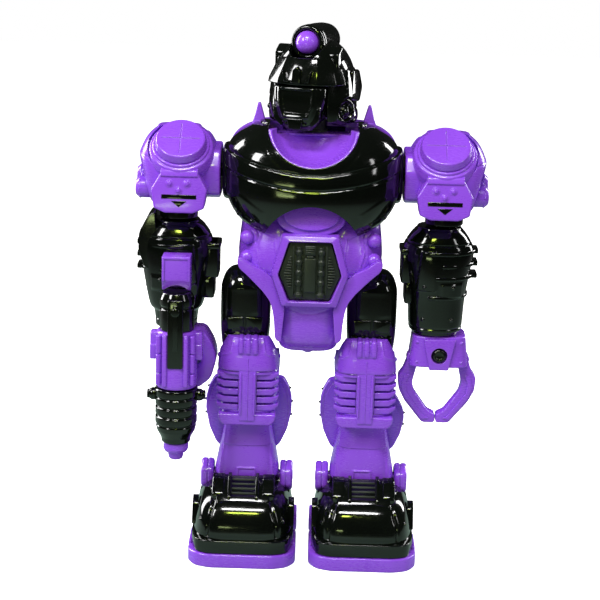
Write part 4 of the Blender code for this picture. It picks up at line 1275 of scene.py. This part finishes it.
def blaster_sight():
    cad = room("blaster_sight")
    lo, hi = cad.lo, cad.hi
    side_view = [(hi.y, hi.z), (lo.y + 0.8, hi.z), (lo.y + 0.8, lo.z + 6), (lo.y + 3.4, lo.z), (hi.y, lo.z)]
    box = slab("box", side_view, "X", lo.x, hi.x, 0.9, 0.6, 4)
    carve(box, rod("arch", 8.6, (cad.mid.x, lo.y - 10, lo.z - 5.6), (cad.mid.x, lo.y + 10, lo.z - 5.6),
                   count=64, rounding=0))
    rim = [(lo.x + 0.2, lo.z + 5.4), (lo.x + 0.2, hi.z - 0.2), (hi.x - 0.2, hi.z - 0.2),
           (hi.x - 0.2, lo.z + 5.4), (hi.x - 1.5, lo.z + 5.4), (hi.x - 1.5, hi.z - 1.5),
           (lo.x + 1.5, hi.z - 1.5), (lo.x + 1.5, lo.z + 5.4)]
    pieces = [box, slab("rim", rim, "Y", lo.y + 0.2, lo.y + 2, 0.3)]
    stand_for(pieces, "blaster_sight")


def blaster_barrel():
    cad, x, y, high, low = blaster_part("blaster_barrel")
    profile = [(0, high), (8.0, high), (9.5, high - 3.6), (9.5, high - 7), (8.9, high - 7.4),
               (8.9, high - 9), (9.5, high - 9.4), (9.5, low), (0, low)]
    pieces = [turned("barrel", profile, (x, y, 0), count=80, rounding=0.4)]
    strip_low = room("blaster_sleeve").lo.z + 13
    pieces.append(block("strip", (x - 4.2, x + 4.2), (cad.lo.y - 0.6, y), (strip_low, high - 2.4), 0.7))
    pieces.append(block("strip_ridge", (x - 1.4, x + 1.4), (cad.lo.y - 1, y),
                        (strip_low + 10, high - 5), 0.5))
    pieces.append(rod("strip_knob", 2.4, (x, cad.lo.y - 1.4, high - 9), (x, y, high - 9),
                      count=32, rounding=0.6))
    stand_for(pieces, "blaster_barrel")


def blaster_sleeve():
    cad, x, y, high, low = blaster_part("blaster_sleeve")
    profile = [(0, high), (10.4, high), (11.2, high - 1), (11.4, low + 2.4), (11.0, low + 0.6),
               (9.6, low), (0, low)]
    pieces = [turned("sleeve", profile, (x, y, 0), count=88, rounding=0.4)]
    for side in (-1, 1):
        pieces.append(block("rail", (x + side * 4.5, x + side * 7), (cad.lo.y - 0.4, y),
                            (low + 2.4, high - 0.8), 0.7))
        for start, end in ((low + 3, low + 9.4), (low + 10, low + 20.4), (low + 21, high - 1.6)):
            foot_point = (x + side * 9.2, cad.lo.y + 2.8, start)
            pieces.append(rod("side_rod", 1.5, foot_point, (*foot_point[:2], end), count=24, rounding=0.5))
        lug_x = (x + side * 9, x + side * 14.4)
        pieces.append(block("lug", lug_x, (y - 3.8, y + 3.4), (high - 16.4, high - 0.8), 1.2))
        pieces.append(block("lug_step", lug_x, (y - 4.6, y), (high - 16.4, high - 7.6), 0.8))
    stand_for(pieces, "blaster_sleeve")


def blaster_nozzle():
    _, x, y, high, low = blaster_part("blaster_nozzle")
    profile = [(0, high), (11.6, high), (12, high - 1), (12, high - 4), (11, high - 5)]
    z = high - 5.6
    for _ in range(3):
        profile += [(11.6, z), (11.6, z - 3.6), (10.8, z - 4.2), (10.8, z - 4.8)]
        z -= 5.4
    profile += [(11.2, z), (10.6, low + 7), (8.4, low + 3), (8.0, low + 0.4), (7.4, low), (0, low)]
    pieces = [turned("nozzle", profile, (x, y, 0), count=88, rounding=0.3)]
    for side in (-1, 1):
        pieces.append(ball("ear", 3.5, (x + side * 12.6, y, high - 4.4)))
        pieces.append(turned("ear_ring", [(0, 1), (2.4, 1), (2.8, 0), (0, 0)],
                             (x + side * 15.2, y, high - 4.4), (side, 0, 0), count=28))
    stand_for(pieces, "blaster_nozzle")


def blaster_tip():
    _, x, y, high, low = blaster_part("blaster_tip")
    profile = [(0, high), (7.0, high), (7.0, high - 3.6), (6.2, high - 5.2), (4.4, high - 6.0),
               (4.2, high - 8), (3.8, low + 0.6), (3.0, low), (2.4, low), (2.2, low + 2), (0, low + 2)]
    stand_for(turned("tip", profile, (x, y, 0), count=64, rounding=0.3), "blaster_tip")


def wrist():
    cad = room("wrist_block")
    middle = cad.mid.x
    low, high = cad.lo.z, cad.hi.z
    layers = [(low, 16.6, 13), (low + 1.4, 16.7, 13.1), (high, 15, 12)]
    cuff = stack("wrist", layers, (middle, 0), power=5, count=120, rows=24, rounding=0.8)
    claw = joint_place("claw_inner_open")
    for side in (-1, 1):
        x = (middle + side * 8.6, middle + side * 30)
        carve(cuff, block("finger_room", x, (claw.y - 4.4, claw.y + 4.4), (low - 10, low + 8.2), 0))
    carve(cuff, rod("button_room", 4.4, (middle, -30, 118), (middle, -8.6, 118), count=48, rounding=0))
    pieces = [cuff]
    tongue = [(-9, high - 1.0), (9, high - 1.0), (5.4, low - 1.2), (-5.4, low - 1.2)]
    frame_piece = slab("tongue", across(tongue, middle), "Y", -14.4, -10, 0.8, 0.8)
    carve(frame_piece, rod("button_room", 4.6, (middle, -30, 118), (middle, -8, 118), count=48, rounding=0))
    pieces.append(frame_piece)
    for side in (-1, 1):
        for z in (low + 3, high - 3.4):
            pieces.append(rivet("rivet", cuff, middle + side * 12.4, z, 0.9))
    stand_for(pieces, "wrist_block")


def button():
    cad = room("wrist_button")
    profile = [(0, 14.0), (1.6, 14.1), (2.2, 14.6), (3.2, 14.5), (4, 13.6), (4, 10.6), (0, 10.6)]
    stand_for(turned("button", profile, (cad.mid.x, 0, cad.mid.z), (0, -1, 0), count=64, rounding=0.4),
              "wrist_button")


def claw_finger(name, side):
    pivot = joint_place(f"claw_{name}_open")
    middle = joint_place("wrist_turn").x
    hook = [(-12.4, 107), (-14, 100), (-12.8, 94.6), (-4.6, 83), (-0.2, 81), (-0.2, 76), (-7.6, 76),
            (-18, 88.8), (-21.6, 95.8), (-22.2, 103.4), (-19.4, 107.4)]
    eye = arc_points((-14, pivot.z), 3.8, 200, 20, 16)
    outline = across(fill_corners(hook, 1.6, False) + eye, middle, side)
    pieces = [slab("finger", outline, "Y", pivot.y - 4, pivot.y + 4, 0.7)]
    rib = [(-15.4, 105), (-17.6, 100), (-16.6, 93.6), (-6.4, 80), (-3.6, 79), (-8, 78), (-18.2, 91),
           (-20.4, 98), (-18.6, 104.4)]
    outline = across(rib, middle, side)
    pieces.append(slab("rib", outline, "Y", pivot.y - 4.7, pivot.y + 4.7, 0.5, 0.8))
    stand_for(pieces, f"claw_finger_{name}")


# ---------------------------------------------------------------- legs


def thigh(side_name):
    cad = room(f"thigh_{side_name}")
    side = SIDES[side_name]
    hip = joint_place(f"hip_{side_name}")
    half = cad.size.x / 2
    layers = [(117.4, half - 1.4, 11), (122, half - 0.6, 12.4), (132, half, 13.8), (hip.z, half, 14)]
    for angle in (20, 40, 55, 68, 79, 88):
        a = math.radians(angle)
        layers.append((hip.z + 14 * math.sin(a), half - 9 * (1 - math.cos(a)), 14 * math.cos(a) + 0.6))
    leg = stack("thigh", layers, (cad.mid.x, 0), power=2.9, count=160, rows=140, rounding=0)

    def panels(x, y, z, normals):
        front = normals[:, 1] < -0.2
        u = np.abs(x - cad.mid.x)
        return (groove(z - 138.6 + 0.1 * u, 0.35, 0.35) + groove(u, 0.35, 0.4) * (z < 138)) * front

    sculpt(leg, panels)
    carve(leg, axle_room(HIP_BORE, "hip_left", side * 10, side * 43))
    pieces = [leg]
    facet = [(-10.4, 137), (-0.6, 137.6), (-0.6, 131.4), (-9.4, 130)]
    for way in (-1, 1):
        pieces.append(slab("facet", across(facet, cad.mid.x, way), "Y", -14.7, -9, 0.5, 0.6))
    lower = [(-11.4, 128)] + arc_points((0, 121.4), 9, 150, 30, 10) + [(11.4, 128),
                                                                       (11.4, 119), (-11.4, 119)]
    pieces.append(slab("knee_plate", across(lower, cad.mid.x), "Y", -13.4, -6, 0.6))
    stand_for(pieces, f"thigh_{side_name}")


GUARD_LAYERS = [(76, 14.8, 17.5), (77, 15.3, 18.4), (82.2, 15.8, 18.5), (83.2, 16, 18.4), (95, 16.8, 19.6),
                (107, 17.5, 20.8), (108.6, 17.5, 21.4), (112, 17.2, 21.5), (118, 16.2, 20.8),
                (123, 14.4, 19.6), (127, 12.4, 17.4)]
CALF_LAYERS = [(42.2, 18, 15.2), (45, 18.3, 15.8), (56, 16.4, 15), (66, 14.4, 14), (76, 13.2, 13),
               (96, 13, 13), (116, 13, 12.6)]


def shin(side_name):
    middle = joint_place(f"hip_{side_name}").x
    guard = stack("guard", GUARD_LAYERS, (middle, -2), power=3.6, count=160, rows=120, rounding=0.8)

    def armour(x, y, z, normals):
        u = np.abs(x - middle)
        front = normals[:, 1] < -0.1
        lift = groove(line_distance(u, z, [(8, 127), (9.5, 119), (15, 116)]), 0.5, -0.5)
        lift = lift + groove(z - 108.2, 0.4, 0.5) + groove(z - 82.8, 0.35, 0.6)
        lift = lift + groove(u, 0.35, -0.4) * (z > 108)
        return lift * front

    sculpt(guard, armour)
    slice_off(guard, (0, 4, 0), (0, 1, 0))
    # the calf grown a little all round, and longer at both ends
    calf_room = [(z - (i == 0) + 0.4 * (i == 6), hx + 0.4, hy + 0.4)
                 for i, (z, hx, hy) in enumerate(CALF_LAYERS)]
    carve(guard, stack("calf_room", calf_room, (middle, 0), rows=40))
    knee_room = [(-10.4, 115), (-12.8, 122), (-14.8, 132), (-14.8, 140), (60, 140), (60, 115)]
    carve(guard, slab("knee_room", knee_room, "X", middle - 40, middle + 40, 0))
    pieces = [guard]
    for way in (-1, 1):
        window = [(5.0, 84.6), (18.4, 84.6), (18.8, 106.4), (5.0, 106.4)]
        carve(guard, slab("window", across(window, middle, way), "Y", -40, -17.2, 0))
        pieces += [louvre(middle, way, 84.2 + 4.6 * index) for index in range(5)]
    band = [(-4.2, 79.6), (4.2, 79.6), (4.8, 108.6), (7.2, 113), (-7.2, 113), (-4.8, 108.6)]
    pieces.append(slab("centre_band", across(band, middle), "Y", -23.3, -14, 0.5, 0.6))
    for way in (-1, 1):
        pieces.append(block("band_edge", (middle + way * 3.2, middle + way * 4.4), (-24, -16),
                            (83, 107.6), 0.4))
    pieces.append(block("band_seam", (middle - 0.35, middle + 0.35), (-23.7, -16), (80, 116), 0.2))
    pieces.append(block("knee_back", (middle - 5.8, middle + 5.8), (-23, -13), (117.4, 126), 0.9))
    for x in (-4, 0, 4):
        pieces.append(block("knee_bar", (middle + x - 1.5, middle + x + 1.5), (-24, -14),
                            (118.4, 127.8), 1.0))
    hem = [(-13.2, 76.6), (13.2, 76.6), (15.6, 79), (16.4, 83.2), (-16.4, 83.2), (-15.6, 79)]
    pieces.append(slab("hem", across(hem, middle), "Y", -22.6, -12, 1.6, 1.6))
    for way in (-1, 1):
        pieces.append(ball("bolt", 1.7, (middle + way * 16.2, -6, 113)))
        for z, reach in ((86, 16.6), (93, 16.8), (100, 16.8)):
            pieces.append(block("side_rib", (middle + way * 15, middle + way * reach), (-10, 1),
                                (z, z + 2), 0.5))
    stand_for(pieces, f"shin_guard_{side_name}")


FIN = ([(8, 60), (15, 53.6), (18.6, 57), (22.6, 66), (24.8, 77), (24.6, 85), (23, 91), (20, 96.4), (8, 99)],
       [(13, 60), (16.4, 57.6), (18.2, 60), (21.2, 68), (22.8, 77), (22.4, 84.6), (20.6, 90.4), (18, 94.4),
        (13, 96)], [(24.2, 74), (24.6, 82), (23.2, 90)])
CLAW_SIDE_FIN = (
    [(8, 60), (15, 53.6), (18.6, 57), (22.2, 65), (24, 74), (23.6, 79), (20, 86), (12, 95), (8, 96)],
    [(13, 60), (16.4, 57.6), (18.2, 60), (20.8, 67), (22, 74), (21.4, 78), (18.2, 84), (13, 89)],
    [(23.4, 70), (23.6, 77)],
)


def louvre(middle, way, z):
    """One slat: level in front and sloping down at its outer end, with a dark gap below it."""
    outline = [(5.2, z + 0.6), (13.4, z + 0.6), (17.3, z + 2.8), (17.4, z + 4.6),
               (13.4, z + 3.9), (5.2, z + 3.9)]
    slat = slab("slat", across(outline, middle, way), "Y", -20.6, -15.6, 0.3)
    for vertex in slat.data.vertices:
        u = abs(vertex.co.x / MM - middle)
        vertex.co.y += max(0.0, u - 11.5) * 0.42 * MM
        vertex.co.y -= (vertex.co.z / MM - 84) * 0.03 * MM
    return slat


def calf(side_name):
    middle = joint_place(f"hip_{side_name}").x
    ankle = joint_place(f"ankle_{side_name}")
    leg = stack("calf", CALF_LAYERS, (middle, 0), power=3.2, count=180, rows=160, rounding=0.6)

    def creases(x, y, z, normals):
        u = x - middle
        front = normals[:, 1] < -0.1
        lift = groove(u, 0.35, -0.5) * (z < 76) * front
        bracket = line_distance(u, z, [(-5, 42), (-5, 48.6), (5, 48.6), (5, 42)])
        lift = lift + groove(bracket, 0.45, -0.8) * front
        lift = lift - 0.55 * ramp_up(z, 62.2, 61.4) * front * ramp_up(np.abs(u), 14.6, 13.8)
        for way in (-1, 1):
            crease = line_distance(u, z, [(way * 11.4, 76), (way * 15.4, 44)])
            lift = lift + groove(crease, 0.5, -0.4) * front
        rear = plate(u, z, [(-9, 60), (9, 60), (8, 106), (-8, 106)], 0.5) * (normals[:, 1] > 0.2)
        return lift + 0.7 * rear + groove(z - 57 - 0.01 * u**2, 0.4, 0.4) * (normals[:, 1] > 0.2)

    sculpt(leg, creases)
    pieces = [leg]
    studs = []
    for way in (-1, 1):
        beside_claw = side_name == "left" and way > 0
        fin, face, stud_places = CLAW_SIDE_FIN if beside_claw else FIN
        pieces.append(slab("fin", across(fin, middle, way), "Y", 5, 11.5, 1.4, 1.6))
        pieces.append(slab("fin_face", across(face, middle, way), "Y", 4.2, 12.3, 0.6, 1))
        for x, z in stud_places:
            stud = [(0, 1.6), (0.8, 0.4), (1.3, -2), (0, -2)]
            studs.append(turned("fin_stud", stud, (middle + way * x, 8.2, z), (way, -0.3, 0.1),
                                count=20, rounding=0.1))
        pieces.append(screw_head("screw", (middle + way * 6.4, 12.6, 112), (0, 1, 0), 2.0))
    tongue = arc_points((0, ankle.z), 6.4, 180, 360, 24) + [(6.4, 50), (-6.4, 50)]
    pieces.append(slab("tongue", tongue, "X", middle - 6, middle + 6, 0.5))
    carve(pieces[-1], rod("pin_room", 2.6, (middle - 10, 0, ankle.z), (middle + 10, 0, ankle.z),
                          count=32, rounding=0))
    stand_for(pieces, f"calf_shell_{side_name}")
    stand_for(studs, f"calf_shell_{side_name}", "black_plastic")


DOME_LAYERS = [(8.4, 28.6, 40), (13.8, 28.8, 40), (14.8, 28.2, 38.6), (20, 27.8, 38.2), (26, 26.8, 36.6),
               (32, 25, 33), (36.4, 22.4, 27.4), (39, 19, 20)]


def foot(side_name):
    cad = room(f"foot_upper_{side_name}")
    leg = joint_place(f"ankle_{side_name}")
    middle = cad.mid.x
    dome = stack("dome", DOME_LAYERS, (middle, -5), power=4.2, count=200, rows=130, rounding=0.8)

    def shaping(x, y, z, normals):
        u = x - middle
        front = (normals[:, 1] < -0.05) & (z > 17)
        lift = groove(u, 0.45, 0.6) * front
        for way in (-1, 1):
            edge_line = line_distance(u * way, z, [(19.4, 17), (18.6, 26), (15.5, 37)])
            lift = lift + groove(edge_line, 0.6, 0.9) * (normals[:, 1] < 0.2) * (z > 17)
        window = plate(y, z, [(-28, 19), (-8, 19), (-6, 31), (-20, 30)], 0.5) * (np.abs(u) > 20) * (z > 17)
        rear = groove(z - 24, 0.45, 0.5) * (normals[:, 1] > 0.1)
        return lift - 0.8 * window + rear

    sculpt(dome, shaping)
    slot = arc_points((0, leg.z), 7.4, 180, 360, 24) + [(7.4, 70), (-7.4, 70)]
    carve(dome, slab("slot", slot, "X", leg.x - 6.6, leg.x + 6.6, 0))
    for way in (-1, 1):
        carve(dome, rod("pod_room", 10.2, (leg.x + way * 18, 0, leg.z), (leg.x + way * 60, 0, leg.z),
                        count=56, rounding=0))
    pieces = [dome]
    bumper = [(-28.8, 0), (-28.8, -30), (-25.6, -42), (-18, -45), (18, -45), (25.6, -42), (28.8, -30),
              (28.8, 0), (24, 0), (24, -34), (-24, -34), (-24, 0)]
    pieces.append(slab("bumper", across(bumper, middle), "Z", cad.lo.z, cad.lo.z + 7.4, 0.4, 5))
    instep = [(-17.6, 46), (-22, 45.2), (-32.4, 37), (-35, 34), (-35, 25), (-17.6, 25)]
    pieces.append(slab("instep", instep, "X", middle - 15, middle + 15, 1.4, 1.5))
    panel = [(-17, 45), (-21.8, 43.6), (-31.6, 35.6), (-31.6, 50), (-17, 50)]
    carve(pieces[-1], slab("panel_room", panel, "X", middle - 6.8, middle + 6.8, 0))
    treads = [block("tread_bed", (middle - 6.9, middle + 6.9), (-31, -18), (24, 33), 0)]
    for index in range(5):
        y = -31 + index * 2.3
        top = np.interp(y, [-31.8, -21.8], [35.4, 43.6])
        treads.append(block("tread", (middle - 6.6, middle + 6.6), (y, y + 1.3), (top - 4, top + 0.8), 0.3))
    for way in (-1, 1):
        rail = [(-17.6, 47), (-22.2, 46.2), (-33, 37.6), (-34.4, 30), (-17.6, 28)]
        pieces.append(slab("rail", rail, "X", middle + way * 6.8, middle + way * 8.8, 0.5, 0.8))
        lug = [(-17.6, 46.6), (-22.4, 45.6), (-31, 38.4), (-31, 28), (-17.6, 28)]
        pieces.append(slab("lug", lug, "X", middle + way * 10.6, middle + way * 17.6, 0.9, 1.4))
        bracket = [(-26, 18), (-20, 18), (-15, 30), (-17, 33), (-22, 29)]
        pieces.append(slab("bracket", bracket, "X", middle + way * 25.6, middle + way * 29, 0.8, 1))
        pieces.append(rivet("rivet", dome, middle + way * 23.4, 25, 1.2))
        pieces.append(screw_head("screw", (middle + way * 16, 30.8, 22), (0, 1, 0.2), 2.0))
    stand_for(pieces, f"foot_upper_{side_name}")
    stand_for(treads, f"foot_upper_{side_name}", "vent_plastic")


def pod_outline(level, scale):
    """The ankle pod's hexagon, to a scale."""
    return arc_points((0, level), 9.7 * scale, 30, 330, 5)


def ankle(side_name):
    leg = joint_place(f"ankle_{side_name}")
    pieces = [rod("pin", 2.2, leg - Vector((20, 0, 0)), leg + Vector((20, 0, 0)), count=32)]
    for way in (-1, 1):
        hexagon = pod_outline(leg.z, 1)
        pieces.append(slab("pod", hexagon, "X", leg.x + way * 19, leg.x + way * 26.4, 1.6, 2.6, 4))
        groove_x = leg.x + way * 22.6
        ring = slab("ring", pod_outline(leg.z, 1.04), "X", groove_x - 0.5, groove_x + 0.5, 0)
        core = slab("core", pod_outline(leg.z, 0.93), "X", groove_x - 1, groove_x + 1, 0, 2.4)
        carve(ring, core)
        carve(pieces[-1], ring)
        bolt = [(0, 0.6), (2.6, 0.6), (3.2, -0.4), (0, -0.4)]
        pieces.append(turned("bolt", bolt, (leg.x + way * 26.0, 0, leg.z), (way, 0, 0), count=40))
    stand_for(pieces, f"ankle_pin_{side_name}")


def sole(side_name):
    cad = room(f"sole_{side_name}")
    wheel = joint_place(f"roller_spin_{side_name}")
    middle = cad.mid.x
    half = [(26, 38), (30.4, 33), (30.4, 12), (27.6, 8), (27.6, -2), (30.4, -6), (30.4, -36),
            (26, -43), (18, -46)]
    outline = across(half, middle) + across(half[::-1], middle, -1)
    plate_piece = slab("sole", outline, "Z", cad.lo.z, cad.hi.z, 1.0, 3.0, 4)
    carve(plate_piece, block("roller_room", (middle - 6.5, middle + 6.5),
                             (wheel.y - 4.6, wheel.y + 4.6), (-5, 12), 0))
    carve(plate_piece, rod("pin_room", 1.5, (middle - 9.5, wheel.y, wheel.z),
                           (middle + 9.5, wheel.y, wheel.z), count=24, rounding=0))
    pieces = [plate_piece]
    for way in (-1, 1):
        for low_y, high_y in ((-30, -10), (14, 30)):
            pieces.append(block("pad", (middle + way * 28.4, middle + way * 30.3),
                                (low_y, high_y), (2, 9.6), 0.7))
    stand_for(pieces, f"sole_{side_name}")


def roller(side_name):
    wheel = joint_place(f"roller_spin_{side_name}")
    profile = [(0, 9), (1.2, 9), (1.2, 6), (3.8, 5.6)]
    for x in range(4, -6, -2):
        profile += [(3.8, x + 0.6), (3.3, x + 0.3), (3.3, x - 0.3), (3.8, x - 0.6)]
    profile += [(3.8, -5.6), (1.2, -6), (1.2, -9), (0, -9)]
    stand_for(turned("wheel", profile, wheel, (1, 0, 0), count=48, rounding=0.15),
              f"foot_roller_{side_name}")


# ---------------------------------------------------------------- the pieces that stay as they are


def finish_inner_nodes():
    """The inner pieces keep their CAD shape. Every CAD node gets its finished material."""
    for name, obj in frame["nodes"].items():
        slot = SLOT_OF[name]
        obj.data.materials.clear()
        obj.data.materials.append(MATERIALS[slot])


# ---------------------------------------------------------------- studio


def area_light(name, place, target, size, power, colour=(1, 1, 1)):
    """A rectangular light at a place, turned to its target, all in metres."""
    light = bpy.data.lights.new(name, "AREA")
    light.shape = "RECTANGLE"
    light.size, light.size_y = size
    light.energy = power
    light.color = colour
    obj = bpy.data.objects.new(name, light)
    bpy.context.scene.collection.objects.link(obj)
    obj.location = place
    obj.rotation_mode = "QUATERNION"
    obj.rotation_quaternion = (Vector(target) - Vector(place)).to_track_quat("-Z", "Y")


def floor_plane():
    """A plain pale floor that looks white to the camera and darker in the robot's gloss, where its colour is a
    painted reflection: a green-grey pool round the robot that fades to near black further out.
    """
    half_size = 3.0
    builder = bmesh.new()
    bmesh.ops.create_grid(builder, x_segments=2, y_segments=2, size=half_size)
    mesh = bpy.data.meshes.new("floor")
    builder.to_mesh(mesh)
    builder.free()
    floor = bpy.data.objects.new("floor", mesh)
    bpy.context.scene.collection.objects.link(floor)
    n = Nodes("studio_white")
    path = n.add("ShaderNodeLightPath")
    seen = path.outputs["Is Camera Ray"]
    pale = n.ramp(n.noise(3), [(0.3, (0.80,) * 3), (0.7, (0.84,) * 3)])
    away = n.add("ShaderNodeVectorMath", operation="LENGTH")
    n.link(n.place, away.inputs[0])
    # painted reflection: gloss and bounce rays see a green-grey pool of light round the robot, fading to near
    # black with distance, not the floor's own colour
    painted_reflection_pool = n.ramp(n.span(away.outputs["Value"], 0, 1, 0.1, 0.7),
                            [(0.1, (0.20, 0.30, 0.25)), (0.9, (0.015,) * 3)])
    n.feed(n.mix(seen, painted_reflection_pool, pale), "Base Color")
    n.shader.inputs["Roughness"].default_value = 0.9
    n.shader.inputs["Emission Color"].default_value = (1, 1, 1, 1)
    glow = n.maths("MAXIMUM", seen, n.span(path.outputs["Is Diffuse Ray"], 0.0, 0.45))
    n.feed(glow, "Emission Strength")
    mesh.materials.append(n.material)


def surroundings():
    """White behind the robot, a weak even light on it, and next to nothing in its reflections."""
    world = bpy.data.worlds.new("studio")
    bpy.context.scene.world = world
    world.use_nodes = True
    tree = world.node_tree
    background = tree.nodes["Background"]
    path = tree.nodes.new("ShaderNodeLightPath")
    strength = tree.nodes.new("ShaderNodeMapRange")
    strength.inputs["To Min"].default_value = 0.02
    strength.inputs["To Max"].default_value = 1.0
    tree.links.new(path.outputs["Is Camera Ray"], strength.inputs["Value"])
    ambient = tree.nodes.new("ShaderNodeMath")
    ambient.operation = "MULTIPLY_ADD"
    ambient.inputs[1].default_value = 0.3
    tree.links.new(path.outputs["Is Diffuse Ray"], ambient.inputs[0])
    tree.links.new(strength.outputs["Result"], ambient.inputs[2])
    tree.links.new(ambient.outputs["Value"], background.inputs["Strength"])
    background.inputs["Color"].default_value = (1, 1, 1, 1)


def lights():
    """Small bright lights, so that the glossy black shows a few clear highlights."""
    area_light("key", (-0.70, -0.58, 0.80), (0, 0, 0.16), (0.22, 0.4), 7)
    area_light("fill", (0.75, -0.55, 0.6), (0, 0, 0.16), (0.10, 0.45), 1.2)
    area_light("top", (-0.05, -0.52, 0.98), (0, 0, 0.2), (0.4, 0.10), 6)
    area_light("spark", (-0.06, -0.66, 0.72), (0, 0, 0.12), (0.14, 0.06), 1.2, (0.75, 1.0, 0.12))
    area_light("low", (-0.2, -0.9, 0.12), (0, 0, 0.08), (0.2, 0.03), 0.2, (0.8, 1.0, 0.4))
    area_light("back_left", (-0.75, 0.35, 0.45), (0, 0, 0.15), (0.25, 0.8), 9)
    area_light("back_right", (0.7, 0.5, 0.45), (0, 0, 0.15), (0.16, 0.7), 6)


def camera():
    """The photograph's view: from the front, a little above, with a slight roll."""
    target = Vector((0, 0, 0.150))
    distance = 0.900
    elevation = math.radians(14)
    back_way = Vector((0, -math.cos(elevation), math.sin(elevation)))
    data = bpy.data.cameras.new("camera")
    data.sensor_width = 36
    data.lens = 95.6
    data.shift_x = -0.0155
    data.shift_y = -0.015
    obj = bpy.data.objects.new("camera", data)
    bpy.context.scene.collection.objects.link(obj)
    look = (-back_way).to_track_quat("-Z", "Y").to_matrix().to_4x4()
    roll = Matrix.Rotation(math.radians(1.7), 4, "Z")
    obj.matrix_world = Matrix.Translation(target + back_way * distance) @ look @ roll
    bpy.context.scene.camera = obj
    bpy.context.scene.view_settings.view_transform = "Standard"
    bpy.context.scene.view_settings.look = "None"


def build():
    make_materials()
    finish_inner_nodes()
    for piece in (chest, collar, belly, vent, back, door, switch, helmet, visor, mask, crest, lamp):
        piece()
    for piece in (ear, pod, cap, booster, axle, upper_arm, gauntlet, thigh, shin, calf, foot,
                  ankle, sole, roller):
        for side_name in SIDES:
            piece(side_name)
    for piece in (hand, blaster_sight, blaster_barrel, blaster_sleeve, blaster_nozzle,
                  blaster_tip, wrist, button):
        piece()
    claw_finger("inner", 1)
    claw_finger("outer", -1)
    floor_plane()
    surroundings()
    lights()
    camera()


build()
